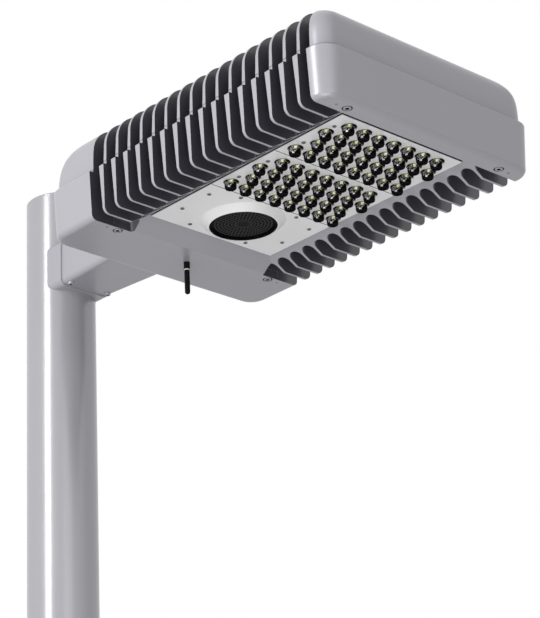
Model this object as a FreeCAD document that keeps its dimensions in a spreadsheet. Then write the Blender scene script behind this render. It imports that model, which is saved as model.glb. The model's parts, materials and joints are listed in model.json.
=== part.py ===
import FreeCAD, Part
import math
import os
import re
import Sketcher

os.makedirs("parts", exist_ok=True)

doc = FreeCAD.newDocument("area_light")
sizes = doc.addObject("Spreadsheet::Sheet", "Sizes")

# Driving dimensions in millimetres, degrees for angles, plain counts for the rest.
# Heights of the luminaire are measured from the face of its lighting panel, upward positive.
# Distances out from the pole are measured from the pole's axis.
DIMENSIONS = {
    "pole_radius": 50.8,
    "pole_wall": 3.2,
    "pole_below_panel": 480,
    "pole_above_panel": 171,
    "pole_cap_top": 3.5,
    "pole_cap_skirt": 22,
    "pole_cap_wall": 2,
    "pole_cap_edge": 2,
    "fit_clearance": 0.3,
    "cable_hole_radius": 9,
    "adaptor_face": 57,
    "adaptor_margin": 2,
    "arm_pole_half_width": 42.5,
    "arm_house_half_width": 51,
    "arm_pole_bottom": 17,
    "arm_house_bottom": 13.5,
    "arm_top": 85,
    "arm_corner": 8,
    "arm_wall": 4,
    "arm_end_wall": 6,
    "arm_gasket_thickness": 2,
    "arm_bolt_radius": 5,
    "arm_bolt_reach": 17,
    "arm_bolt_head": 6.4,
    "arm_bolt_flats": 8,
    "arm_bolt_length": 42,
    "nut_height": 8,
    "backing_half_width": 16,
    "backing_half_height": 32,
    "backing_thickness": 6,
    "lock_screw_out": 67,
    "lock_screw_side": 34,
    "lock_screw_radius": 4.5,
    "lock_screw_head": 3,
    "lock_screw_shank": 2.5,
    "house_rear": 212,
    "house_half_width": 191,
    "house_draft": 3.2,
    "house_bottom": 16,
    "ledge_height": 55,
    "ledge_width": 6.5,
    "ledge_edge": 1.5,
    "bottom_round": 8.5,
    "fin_round": 9.5,
    "plan_round": 30,
    "dome_top": 127,
    "dome_round": 42,
    "dome_rear_round": 62,
    "dome_draft": 1,
    "rear_cap_length": 98,
    "front_cap_length": 32,
    "cap_wall": 4,
    "cap_front_wall": 3.5,
    "window_half_width": 112,
    "rear_void_half_width": 172,
    "rear_void_top": 90,
    "rear_void_depth": 78,
    "roof_void_half_width": 158,
    "roof_void_top": 112,
    "roof_void_depth": 56,
    "cable_way_half_width": 30,
    "cable_way_bottom": 30,
    "cable_way_top": 70,
    "window_bottom": 14,
    "window_top": 88,
    "front_void_half_width": 168,
    "front_void_top": 92,
    "front_void_depth": 17,
    "arm_pad_depth": 4,
    "fin_count": 16,
    "fin_pitch": 25.4,
    "last_gap": 0.8,
    "fin_top_thickness": 9.2,
    "fin_draft": 2.2,
    "fin_foot": 140,
    "slot_end": 121,
    "slot_corner": 7.5,
    "slot_corner_chords": 4,
    "core_half_width": 118,
    "core_wall": 8,
    "core_floor": 12,
    "core_top": 115,
    "core_roof": 6,
    "rib_base_thickness": 6,
    "rib_top_thickness": 3.6,
    "seam_thickness": 1,
    "ramp_start": 5,
    "ramp_end": 27,
    "panel_rear": 29.5,
    "panel_half_width": 108.4,
    "bay_length": 124,
    "panel_proud": 2.5,
    "plate_thickness": 0.8,
    "plate_gap": 0.6,
    "board_thickness": 1.6,
    "board_half_width": 103,
    "board_half_length": 56,
    "board_space": 0.6,
    "lens_pitch": 26.5,
    "row_pitch": 28.2,
    "lens_base_half_width": 11,
    "lens_end_half_width": 8.5,
    "lens_depth": 13,
    "lens_row_long": 8,
    "lens_row_short": 7,
    "aperture_half_size": 3,
    "chip_half_size": 1.7,
    "chip_height": 1.1,
    "speaker_lead": 2.7,
    "speaker_radius": 46.8,
    "speaker_hang": 9,
    "bezel_base_radius": 58.4,
    "bezel_end_radius": 48,
    "bezel_lip_radius": 44,
    "grille_thickness": 1.6,
    "grille_rim_depth": 3.4,
    "grille_rim_width": 3.5,
    "grille_boss_radius": 6,
    "driver_flange_radius": 57,
    "driver_opening": 50,
    "driver_basket_radius": 49,
    "driver_back_radius": 32,
    "driver_depth": 30,
    "driver_wall": 1.6,
    "cone_radius": 43,
    "cone_throat_radius": 14,
    "cone_depth": 16,
    "cone_thickness": 0.9,
    "magnet_radius": 30,
    "magnet_depth": 14,
    "screw_head_half_width": 2.8,
    "screw_head_height": 1.2,
    "side_screw_side": 91,
    "side_screw_spread": 27.5,
    "side_screw_lead": 9.5,
    "end_screw_side": 50.6,
    "end_screw_spread": 52,
    "led_screw_side": 95,
    "led_screw_offset": 9,
    "cap_screw_side": 137,
    "cap_screw_inset": 8,
    "front_screw_inset": 11.5,
    "cap_screw_head_radius": 6.5,
    "cap_screw_head_height": 2.2,
    "cap_screw_recess": 1.8,
    "cap_screw_radius": 3,
    "drain_side": 155.5,
    "drain_radius": 1.6,
    "lug_inner": 92,
    "lug_outer": 149,
    "lug_depth": 16,
    "lug_height": 8,
    "lug_clearance": 1,
    "lug_upright": 4,
    "lug_upright_top": 20,
    "house_screw_side": 102.8,
    "house_screw_radius": 3,
    "house_screw_flats": 4.2,
    "house_screw_head_height": 4,
    "boss_half_width": 8,
    "boss_rise": 24,
    "antenna_side": 6,
    "antenna_out": 278,
    "antenna_sleeve_radius": 4.4,
    "antenna_sleeve_length": 10.5,
    "antenna_ring_length": 2,
    "antenna_whip_radius": 3.8,
    "antenna_length": 48,
    "antenna_stem_radius": 3,
    "antenna_nut_flats": 5,
    "antenna_nut_height": 3,
    "supply_half_width": 35,
    "supply_length": 170,
    "supply_height": 36,
    "amplifier_inner": 30,
    "amplifier_width": 84,
    "amplifier_rear": 235,
    "amplifier_length": 50,
    "amplifier_height": 26,
    "terminal_inner": 36,
    "terminal_width": 62,
    "terminal_rear": 236,
    "terminal_length": 22,
    "terminal_height": 18,
    "surge_width": 48,
    "surge_rear": 264,
    "surge_length": 26,
    "surge_height": 24,
}
for row, (alias, number) in enumerate(DIMENSIONS.items(), start=1):
    sizes.set(f"A{row}", alias)
    sizes.set(f"B{row}", str(number))
    sizes.setAlias(f"B{row}", alias)
doc.recompute()

# Places that several pieces share, worked out from the driving dimensions.
CAP_PLANE = "({house_rear} + {rear_cap_length})"
FRONT_PLANE = f"({CAP_PLANE} + ({{fin_count}} + {{last_gap}}) * {{fin_pitch}})"
HOUSE_FRONT = f"({FRONT_PLANE} + {{front_cap_length}})"
PANEL_REAR = f"({CAP_PLANE} + {{panel_rear}})"
BAY_SPEAKER = f"({PANEL_REAR} + {{bay_length}} / 2)"
SPEAKER = f"({BAY_SPEAKER} + {{speaker_lead}})"
BAY_REAR = f"({PANEL_REAR} + {{bay_length}} * 1.5)"
BAY_FRONT = f"({PANEL_REAR} + {{bay_length}} * 2.5)"
RECESS = "({plate_thickness} + {board_space} + {board_thickness})"
CORE_INSIDE = "({core_half_width} - {core_wall})"
ARM_MIDDLE = "(({arm_pole_bottom} + {arm_top}) / 2)"
ARM_END = "({house_rear} - {arm_pad_depth} - {arm_gasket_thickness})"
SEAM_TOP = "({ledge_height} + {seam_thickness})"
CAP_FLOOR = "({cap_wall} - {house_bottom})"
DOME_HALF_WIDTH = "({house_half_width} - {ledge_width})"
REAR_SCREW = f"({CAP_PLANE} - {{cap_screw_inset}})"
FRONT_SCREW = f"({FRONT_PLANE} + {{front_screw_inset}})"
POLE_BORE = "({pole_radius} - {pole_wall})"
HOUSE_SCREW_BAYS = (BAY_SPEAKER, BAY_FRONT)

PLANES = {"top": "XY_Plane", "front": "XZ_Plane", "side": "YZ_Plane"}


def cells(text):
    """Write each {name} of a formula as that name's cell."""
    return re.sub(r"\{(\w+)\}", r"Sizes.\1", str(text))


def value(text):
    """Work out a formula of named sizes."""
    return float(sizes.evalExpression(cells(text)))


def new_body(label, lifted=True):
    """Start a piece. A lifted piece is drawn about the panel's height on the pole's axis."""
    body = doc.addObject("PartDesign::Body", label)
    body.Label = label
    if lifted:
        body.setExpression("Placement.Base.z", cells("{pole_below_panel}"))
    return body


def new_sketch(body, view, at="0", name="Profile"):
    """Draw on the body's own top, front or side plane, moved along its axis to the place at."""
    sketch = body.newObject("Sketcher::SketchObject", name)
    role = PLANES[view]
    plane = [item for item in body.Origin.OriginFeatures if item.Role == role][0]
    sketch.AttachmentSupport = (plane, "")
    sketch.MapMode = "FlatFace"
    sign = "-" if view == "front" else ""
    sketch.setExpression("AttachmentOffset.Base.z", cells(f"{sign}({at})"))
    sketch.recompute()
    return sketch


def bind(sketch, constraint, formula):
    """Add a constraint and tie its size to a formula."""
    index = sketch.addConstraint(constraint)
    sketch.setExpression(f"Constraints[{index}]", cells(formula))


def place(sketch, item, point, across, up):
    """Fix a sketch point at two formulas."""
    for kind, formula, axis in (("DistanceX", across, -2), ("DistanceY", up, -1)):
        if abs(value(formula)) < 1e-9:
            sketch.addConstraint(Sketcher.Constraint("PointOnObject", item, point, axis))
        else:
            bind(sketch, Sketcher.Constraint(kind, -1, 1, item, point, value(formula)), formula)


def outline(sketch, corners):
    """Close a chain of lines and arcs.

    A corner is (across, up), or (across, up, centre across, centre up, turn) where an arc about
    that centre runs on to the next corner, turn being "left" or "right".
    """
    count = len(corners)
    spots = [FreeCAD.Vector(value(c[0]), value(c[1]), 0) for c in corners]
    ends = []
    for i, corner in enumerate(corners):
        start, stop = spots[i], spots[(i + 1) % count]
        if len(corner) == 2:
            item = sketch.addGeometry(Part.LineSegment(start, stop), False)
            ends.append((item, 1, 2))
            continue
        centre = FreeCAD.Vector(value(corner[2]), value(corner[3]), 0)
        first, last = (start, stop) if corner[4] == "left" else (stop, start)
        circle = Part.Circle(centre, FreeCAD.Vector(0, 0, 1), (start - centre).Length)
        angles = [math.atan2(p.y - centre.y, p.x - centre.x) for p in (first, last)]
        item = sketch.addGeometry(Part.ArcOfCircle(circle, angles[0], angles[1]), False)
        ends.append((item, 1, 2) if corner[4] == "left" else (item, 2, 1))
    for i in range(count):
        item, _, tail = ends[i]
        following, head, _ = ends[(i + 1) % count]
        sketch.addConstraint(Sketcher.Constraint("Coincident", item, tail, following, head))
    for i, corner in enumerate(corners):
        place(sketch, ends[i][0], ends[i][1], corner[0], corner[1])
        if len(corner) > 2:
            level = abs(spots[i].y - spots[(i + 1) % count].y) < 1e-9
            kind, formula = ("DistanceY", corner[3]) if level else ("DistanceX", corner[2])
            if abs(value(formula)) < 1e-9:
                axis = -1 if level else -2
                sketch.addConstraint(Sketcher.Constraint("PointOnObject", ends[i][0], 3, axis))
            else:
                rule = Sketcher.Constraint(kind, -1, 1, ends[i][0], 3, value(formula))
                bind(sketch, rule, formula)


def ring(sketch, across, up, radius):
    """Draw a circle at two formulas."""
    centre = FreeCAD.Vector(value(across), value(up), 0)
    circle = Part.Circle(centre, FreeCAD.Vector(0, 0, 1), value(radius))
    item = sketch.addGeometry(circle, False)
    place(sketch, item, 3, across, up)
    bind(sketch, Sketcher.Constraint("Radius", item, value(radius)), radius)


def block(sketch, low_across, high_across, low_up, high_up):
    """Draw a rectangle between four formulas."""
    outline(sketch, [(low_across, low_up), (high_across, low_up),
                     (high_across, high_up), (low_across, high_up)])


def polygon(sketch, across, up, flats, sides=6):
    """Draw an even polygon whose flats lie at the given distance from its centre."""
    corners = []
    reach = f"({flats}) / cos(180 / {sides})"
    for step in range(sides):
        angle = 360 * (step + 0.5) / sides
        corners.append((f"{across} + {reach} * cos({angle})", f"{up} + {reach} * sin({angle})"))
    outline(sketch, corners)


def extrude(body, kind, sketch, length, reverse=False, taper=None, middle=False, name=None):
    """Pad or pocket a sketch by a formula."""
    feature = body.newObject(f"PartDesign::{kind}", name or kind)
    feature.Profile = sketch
    feature.Midplane = middle
    feature.Reversed = reverse
    feature.setExpression("Length", cells(length))
    if taper:
        feature.setExpression("TaperAngle", cells(taper))
    doc.recompute()
    return feature


def revolve(body, sketch, cut=False):
    """Turn a sketch a full circle about its own upright axis."""
    feature = body.newObject("PartDesign::Groove" if cut else "PartDesign::Revolution", "Turned")
    feature.Profile = sketch
    feature.ReferenceAxis = (sketch, ["V_Axis"])
    feature.Angle = 360
    doc.recompute()
    return feature


def edges_where(body, test):
    """Name each edge of the body's tip that passes the test, which gets the edge and its middle."""
    names = []
    for index, edge in enumerate(body.Tip.Shape.Edges, start=1):
        middle = edge.valueAt((edge.FirstParameter + edge.LastParameter) / 2)
        if test(edge, middle):
            names.append(f"Edge{index}")
    return names


def round_edges(body, test, radius, name="Rounded"):
    """Fillet the edges that pass the test."""
    tip, names = body.Tip, edges_where(body, test)
    feature = body.newObject("PartDesign::Fillet", name)
    feature.Base = (tip, names)
    feature.setExpression("Radius", cells(radius))
    doc.recompute()


def bevel_edges(body, test, size, name="Bevelled"):
    """Chamfer the edges that pass the test."""
    tip, names = body.Tip, edges_where(body, test)
    feature = body.newObject("PartDesign::Chamfer", name)
    feature.Base = (tip, names)
    feature.setExpression("Size", cells(size))
    doc.recompute()


def repeat(body, originals, role, step, count):
    """Repeat features along one of the body's axes, by spacing and count."""
    axes = {item.Role: item for item in body.Origin.OriginFeatures}
    pattern = body.newObject("PartDesign::LinearPattern", "Repeated")
    pattern.Originals = originals
    pattern.Direction = (axes[role], [""])
    pattern.Mode = "Spacing"
    pattern.setExpression("Offset", cells(step))
    pattern.setExpression("Occurrences", cells(count))
    body.Tip = pattern
    doc.recompute()
    return pattern


def make_pole():
    """The steel tube, drilled for the arm's bolts and cable, and its pressed top cap."""
    body = new_body("pole_tube")
    tube = new_sketch(body, "top", "-{pole_below_panel}")
    ring(tube, "0", "0", "{pole_radius}")
    ring(tube, "0", "0", POLE_BORE)
    extrude(body, "Pad", tube, "{pole_below_panel} + {pole_above_panel}")
    holes = new_sketch(body, "front", "0", "ArmHoles")
    ring(holes, "0", ARM_MIDDLE, "{cable_hole_radius}")
    for sign in "+-":
        ring(holes, "0", f"{ARM_MIDDLE} {sign} {{arm_bolt_reach}}", "{arm_bolt_radius} + {fit_clearance}")
    extrude(body, "Pocket", holes, "{pole_radius} * 1.2")

    cap = new_body("pole_cap")
    profile = new_sketch(cap, "front")
    top = "({pole_above_panel} + {pole_cap_top})"
    skirt = f"({POLE_BORE} - {{fit_clearance}})"
    outline(profile, [
        ("0", "{pole_above_panel}"),
        (f"{skirt} - {{pole_cap_wall}}", "{pole_above_panel}"),
        (f"{skirt} - {{pole_cap_wall}}", "{pole_above_panel} - {pole_cap_skirt}"),
        (skirt, "{pole_above_panel} - {pole_cap_skirt}"),
        (skirt, "{pole_above_panel}"),
        ("{pole_radius}", "{pole_above_panel}"),
        ("{pole_radius}", f"{top} - {{pole_cap_edge}}"),
        ("{pole_radius} - {pole_cap_edge}", top),
        ("0", top),
    ])
    revolve(cap, profile)


def arm_section(body, at, half_width, bottom, name):
    """Draw the arm's rounded box section at a distance from the pole."""
    section = new_sketch(body, "front", at, name)
    side = half_width
    inner = f"({half_width} - {{arm_corner}})"
    low = f"({bottom} + {{arm_corner}})"
    high = "({arm_top} - {arm_corner})"
    outline(section, [
        (inner, bottom, inner, low, "left"),
        (side, low),
        (side, high, inner, high, "left"),
        (inner, "{arm_top}"),
        (f"-{inner}", "{arm_top}", f"-{inner}", high, "left"),
        (f"-{side}", high),
        (f"-{side}", low, f"-{inner}", low, "left"),
        (f"-{inner}", bottom),
    ])
    return section


def make_arm():
    """The saddle on the pole and the flared box arm, with what clamps them to the pole."""
    adaptor = new_body("pole_adaptor")
    face = new_sketch(adaptor, "front", "{adaptor_face}")
    wide = "({arm_pole_half_width} + {adaptor_margin})"
    block(face, f"-{wide}", wide, "{arm_pole_bottom} - {adaptor_margin}", "{arm_top} + {adaptor_margin}")
    extrude(adaptor, "Pad", face, "{adaptor_face} - {pole_wall}")
    round_edges(adaptor, lambda e, m: abs(e.tangentAt(0).y) > 0.9, "{arm_corner} + {adaptor_margin}")
    saddle = new_sketch(adaptor, "top", "0", "Saddle")
    ring(saddle, "0", "0", "{pole_radius}")
    extrude(adaptor, "Pocket", saddle, "{arm_top} * 3", middle=True)
    holes = new_sketch(adaptor, "front", "{adaptor_face}", "Holes")
    ring(holes, "0", ARM_MIDDLE, "{cable_hole_radius}")
    for sign in "+-":
        ring(holes, "0", f"{ARM_MIDDLE} {sign} {{arm_bolt_reach}}", "{arm_bolt_radius} + {fit_clearance}")
    extrude(adaptor, "Pocket", holes, "{adaptor_face}", reverse=True)

    arm = new_body("arm")
    loft = arm.newObject("PartDesign::AdditiveLoft", "Casting")
    loft.Profile = arm_section(arm, "{adaptor_face}", "{arm_pole_half_width}", "{arm_pole_bottom}", "PoleEnd")
    loft.Sections = [arm_section(arm, ARM_END, "{arm_house_half_width}", "{arm_house_bottom}", "HouseEnd")]
    loft.Ruled = True
    doc.recompute()
    hollow = arm.newObject("PartDesign::SubtractiveLoft", "Hollow")
    ends = []
    for name, at, half, bottom in (
        ("InnerPoleEnd", "({adaptor_face} + {arm_end_wall})", "{arm_pole_half_width}", "{arm_pole_bottom}"),
        ("InnerHouseEnd", f"({ARM_END} + 1)", "{arm_house_half_width}", "{arm_house_bottom}"),
    ):
        section = new_sketch(arm, "front", at, name)
        inside = f"({half} - {{arm_wall}})"
        block(section, f"-{inside}", inside, f"{bottom} + {{arm_wall}}", "{arm_top} - {arm_wall}")
        ends.append(section)
    hollow.Profile = ends[0]
    hollow.Sections = ends[1:]
    hollow.Ruled = True
    doc.recompute()
    holes = new_sketch(arm, "front", "{adaptor_face} + {arm_end_wall} + 1", "Holes")
    ring(holes, "0", ARM_MIDDLE, "{cable_hole_radius}")
    for sign in "+-":
        ring(holes, "0", f"{ARM_MIDDLE} {sign} {{arm_bolt_reach}}", "{arm_bolt_radius} + {fit_clearance}")
    extrude(arm, "Pocket", holes, "{arm_end_wall} + 2", reverse=True)
    taps = new_sketch(arm, "top", "0", "LockScrewTaps")
    for sign in ("", "-"):
        ring(taps, f"{sign}{{lock_screw_side}}", "{lock_screw_out}", "{lock_screw_shank}")
    extrude(arm, "Pocket", taps, "{arm_pole_bottom} + {arm_wall} * 2", reverse=True)

    gasket = new_body("arm_gasket")
    outer = arm_section(gasket, ARM_END, "{arm_house_half_width}", "{arm_house_bottom}", "Outer")
    extrude(gasket, "Pad", outer, "{arm_gasket_thickness}", reverse=True)
    window = new_sketch(gasket, "front", ARM_END, "Window")
    inside = "({arm_house_half_width} - {arm_wall})"
    block(window, f"-{inside}", inside, "{arm_house_bottom} + {arm_wall}", "{arm_top} - {arm_wall}")
    extrude(gasket, "Pocket", window, "{arm_gasket_thickness} + 1", reverse=True)

    bolts = new_body("arm_bolts")
    seat = "({adaptor_face} + {arm_end_wall})"
    for sign in "+-":
        centre = f"({ARM_MIDDLE} {sign} {{arm_bolt_reach}})"
        head = new_sketch(bolts, "front", seat, "Head")
        polygon(head, "0", centre, "{arm_bolt_flats}")
        extrude(bolts, "Pad", head, "{arm_bolt_head}", reverse=True)
        shank = new_sketch(bolts, "front", seat, "Shank")
        ring(shank, "0", centre, "{arm_bolt_radius}")
        extrude(bolts, "Pad", shank, "{arm_bolt_length}")

    plate = new_body("pole_backing_plate")
    section = new_sketch(plate, "top", f"{ARM_MIDDLE} - {{backing_half_height}}")
    back = f"sqrt({POLE_BORE} ^ 2 - {{backing_half_width}} ^ 2)"
    flat = f"({POLE_BORE} - {{backing_thickness}})"
    outline(section, [
        ("-{backing_half_width}", flat),
        ("{backing_half_width}", flat),
        ("{backing_half_width}", back, "0", "0", "left"),
        ("-{backing_half_width}", back),
    ])
    extrude(plate, "Pad", section, "{backing_half_height} * 2")
    holes = new_sketch(plate, "front", "{pole_radius}", "Holes")
    ring(holes, "0", ARM_MIDDLE, "{cable_hole_radius}")
    for sign in "+-":
        ring(holes, "0", f"{ARM_MIDDLE} {sign} {{arm_bolt_reach}}", "{arm_bolt_radius} + {fit_clearance}")
    extrude(plate, "Pocket", holes, "{pole_radius} * 2", middle=True)

    nuts = new_body("arm_nuts")
    for sign in "+-":
        centre = f"({ARM_MIDDLE} {sign} {{arm_bolt_reach}})"
        section = new_sketch(nuts, "front", flat, "Nut")
        polygon(section, "0", centre, "{arm_bolt_flats}")
        ring(section, "0", centre, "{arm_bolt_radius} + 0.05")
        extrude(nuts, "Pad", section, "{nut_height}")

    screws = new_body("arm_lock_screws")
    slope = "({arm_pole_bottom} - {arm_house_bottom}) / (" + ARM_END + " - {adaptor_face})"
    under = f"({{arm_pole_bottom}} - ({slope}) * ({{lock_screw_out}} - {{lock_screw_radius}} - {{adaptor_face}}))"
    for sign in ("", "-"):
        head = new_sketch(screws, "top", f"{under} - {{lock_screw_head}}", "Head")
        ring(head, f"{sign}{{lock_screw_side}}", "{lock_screw_out}", "{lock_screw_radius}")
        extrude(screws, "Pad", head, "{lock_screw_head} - {lock_screw_radius} * 2 * (" + slope + ")")
        shank = new_sketch(screws, "top", f"{under} - {{lock_screw_head}}", "Shank")
        ring(shank, f"{sign}{{lock_screw_side}}", "{lock_screw_out}", "{lock_screw_shank} - 0.02")
        extrude(screws, "Pad", shank, "{lock_screw_head} + {arm_wall} + 2")


def cap_section(body, at, reach, side_inset, end_inset, corner, near, far, sign, name):
    """Draw a cap's level: straight towards the fins at near, rounded at its far end."""
    section = new_sketch(body, "top", at, name)
    side = f"({reach} - ({side_inset}))"
    end = f"({far} {sign} ({end_inset}))"
    inner = f"({side} - {corner})"
    back = f"({end} {sign} {corner})"
    turn = "left" if sign == "-" else "right"
    outline(section, [
        (f"-{side}", near),
        (side, near),
        (side, back, inner, back, turn),
        (inner, end),
        (f"-{inner}", end, f"-{inner}", back, turn),
        (f"-{side}", back),
    ])
    return section


def cap_casting(label, plane, far, sign, end_round):
    """Cast an end cap: a drafted band, the ledge, and a dome that rolls over to a flat top.

    plane is where the cap meets the fins. sign is "-" where the far end is the front one and
    "+" where it is the rear one.
    """
    body = new_body(label)
    spare = "({house_half_width} / 3)"
    near = f"({plane} {sign} {spare})"
    band = cap_section(body, "{ledge_height}", "{house_half_width}", "0", "0", "{plan_round}",
                       near, far, sign, "Band")
    extrude(body, "Pad", band, "{ledge_height} + {house_bottom}", reverse=True,
            taper="0 - {house_draft}", name="BandCasting")
    bottom = -value("{house_bottom}")
    straight = value(near)
    round_edges(body, lambda e, m: abs(m.z - bottom) < 0.01 and abs(m.y - straight) > 6,
                "{bottom_round}", "BottomRound")
    top_edge = value("{ledge_height}")
    bevel_edges(body, lambda e, m: abs(m.z - top_edge) < 0.01 and abs(m.y - straight) > 0.5,
                "{ledge_edge}", "LedgeEdge")
    corner = "({plan_round} - {ledge_width})"
    start = "({dome_top} - {dome_round})"
    levels = [("{ledge_height} - 1", "0"), (f"({{ledge_height}} + {start}) / 2", "{dome_draft} / 2"),
              (start, "{dome_draft}")]
    for angle in (22.5, 45, 67.5, 90):
        levels.append((f"{start} + {{dome_round}} * sin({angle})",
                       f"{{dome_draft}} + {{dome_round}} * (1 - cos({angle}))"))
    sections = []
    for number, (level, inset) in enumerate(levels):
        climb = f"max(0; {level} - ({{dome_top}} - {end_round}))"
        end_inset = f"{end_round} - sqrt(max(0; {end_round} ^ 2 - ({climb}) ^ 2))"
        end_inset = f"{end_inset} + min({inset}; {{dome_draft}})"
        end_place = f"({far} {sign} {{ledge_width}})"
        sections.append(cap_section(body, level, DOME_HALF_WIDTH, inset, end_inset, corner,
                                    near, end_place, sign, f"Dome{number}"))
    dome = body.newObject("PartDesign::AdditiveLoft", "DomeCasting")
    dome.Profile = sections[0]
    dome.Sections = sections[1:]
    dome.Ruled = False
    doc.recompute()
    trim = new_sketch(body, "front", plane, "Joint")
    block(trim, "-{house_half_width} * 1.2", "{house_half_width} * 1.2",
          "-{dome_top}", "{dome_top} * 2")
    extrude(body, "Pocket", trim, f"{spare} * 1.5", reverse=sign == "-", name="JointFace")
    return body


def captive_screw_places(body, screw):
    """Recess, bore and drain a cap's floor beside each captive screw."""
    floor = "{cap_wall} - {house_bottom}"
    recess = new_sketch(body, "top", "-{house_bottom}", "ScrewRecess")
    bore = new_sketch(body, "top", floor, "ScrewBore")
    for sign in ("", "-"):
        ring(recess, f"{sign}{{cap_screw_side}}", screw, "{cap_screw_head_radius} + {fit_clearance} * 2")
        ring(bore, f"{sign}{{cap_screw_side}}", screw, "{cap_screw_radius} + {fit_clearance}")
        ring(bore, f"{sign}{{drain_side}}", screw, "{drain_radius}")
    extrude(body, "Pocket", recess, "{cap_screw_recess}", reverse=True)
    extrude(body, "Pocket", bore, "{cap_wall} + 1")


def cap_screws(label, screw):
    """The two captive screws that hold a cap to the lugs of the heat sink."""
    body = new_body(label)
    seat = "({cap_screw_recess} - {house_bottom})"
    for sign in ("", "-"):
        head = new_sketch(body, "top", seat, "Head")
        ring(head, f"{sign}{{cap_screw_side}}", screw, "{cap_screw_head_radius}")
        extrude(body, "Pad", head, "{cap_screw_head_height}", reverse=True)
        shank = new_sketch(body, "top", seat, "Shank")
        ring(shank, f"{sign}{{cap_screw_side}}", screw, "{cap_screw_radius}")
        extrude(body, "Pad", shank, "{cap_wall} - {cap_screw_recess} + {lug_height}")


def make_caps():
    """The cast end caps with their compartments, and their captive screws."""
    rear = cap_casting("rear_end_cap", CAP_PLANE, "{house_rear}", "+", "{dome_rear_round}")
    pad = arm_section(rear, "{house_rear} - {arm_pad_depth}", "({arm_house_half_width} + {adaptor_margin})",
                      "({arm_house_bottom} - {adaptor_margin})", "ArmPad")
    extrude(rear, "Pad", pad, "{arm_pad_depth} * 5", reverse=True)
    inside = f"({CAP_PLANE} - {{cap_front_wall}})"
    space = new_sketch(rear, "top", "{rear_void_top}", "Compartment")
    block(space, "-{rear_void_half_width}", "{rear_void_half_width}",
          f"{inside} - {{rear_void_depth}}", inside)
    extrude(rear, "Pocket", space, "{rear_void_top} + {house_bottom} - {cap_wall}")
    roof = new_sketch(rear, "top", "{roof_void_top}", "RoofSpace")
    block(roof, "-{roof_void_half_width}", "{roof_void_half_width}",
          f"{inside} - {{roof_void_depth}}", inside)
    extrude(rear, "Pocket", roof, "{roof_void_top} - {rear_void_top} + 1")
    window = new_sketch(rear, "front", CAP_PLANE, "Window")
    block(window, "-{window_half_width}", "{window_half_width}", "{window_bottom}", "{window_top}")
    for sign in ("", "-"):
        ends = (f"{sign}({{lug_inner}} - {{lug_clearance}})", f"{sign}({{lug_outer}} + {{lug_clearance}})")
        block(window, ends[0], ends[1], CAP_FLOOR, f"{CAP_FLOOR} + {{lug_height}} + {{lug_clearance}}")
    extrude(rear, "Pocket", window, "{cap_front_wall} + 1", reverse=True)
    way = new_sketch(rear, "front", "{house_rear} - {arm_pad_depth}", "CableWay")
    block(way, "-{cable_way_half_width}", "{cable_way_half_width}", "{cable_way_bottom}", "{cable_way_top}")
    extrude(rear, "Pocket", way, "{arm_pad_depth} * 8")
    captive_screw_places(rear, REAR_SCREW)
    mast = new_sketch(rear, "top", CAP_FLOOR, "AntennaBore")
    ring(mast, "-{antenna_side}", "{antenna_out}", "{antenna_stem_radius} + 0.05")
    extrude(rear, "Pocket", mast, "{cap_wall} + 1")
    cap_screws("rear_cap_screws", REAR_SCREW)

    front = cap_casting("front_end_cap", FRONT_PLANE, HOUSE_FRONT, "-", "{dome_round}")
    space = new_sketch(front, "front", FRONT_PLANE, "Hollow")
    block(space, "-{front_void_half_width}", "{front_void_half_width}", CAP_FLOOR, "{front_void_top}")
    extrude(front, "Pocket", space, "{front_void_depth}")
    captive_screw_places(front, FRONT_SCREW)
    cap_screws("front_cap_screws", FRONT_SCREW)


def slot(sketch, sign, rear, front, chords):
    """Draw a slot between two fins, open at the side.

    With chords, each corner of its inner end is rounded by that many short sides.
    """
    outer = f"{sign}({{house_half_width}} + {{ledge_width}})"
    corners = [(outer, rear), (outer, front)]
    bends = []
    for step in range(chords + 1):
        turn = 90 * step / max(chords, 1)
        bends.append((f"{sign}({{slot_end}} + {{slot_corner}} * (1 - sin({turn})))",
                      f"{{slot_corner}} * (1 - cos({turn}))"))
    if not chords:
        bends = [(f"{sign}{{slot_end}}", "0")]
    corners += [(across, f"{front} - {inset}") for across, inset in bends]
    corners += [(across, f"{rear} + {inset}") for across, inset in reversed(bends)]
    outline(sketch, corners)


def cut_slots(body, at, thickness, depth, taper, chords=0):
    """Cut the first wide gap and then one slot behind every fin, on both sides."""
    first = new_sketch(body, "top", at, "FirstGap")
    slots = new_sketch(body, "top", at, "Slots")
    for sign in ("", "-"):
        slot(first, sign, f"({CAP_PLANE} - 1)", f"({CAP_PLANE} + {{fin_pitch}} - {thickness} / 2)", chords)
        slot(slots, sign, f"({CAP_PLANE} + {{fin_pitch}} + {thickness} / 2)",
             f"({CAP_PLANE} + {{fin_pitch}} * 2 - {thickness} / 2)", chords)
    extrude(body, "Pocket", first, depth, taper=taper, name="FirstGapCut")
    cut = extrude(body, "Pocket", slots, depth, taper=taper, name="SlotCut")
    repeat(body, [cut], "Y_Axis", "{fin_pitch}", "{fin_count}")


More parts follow.
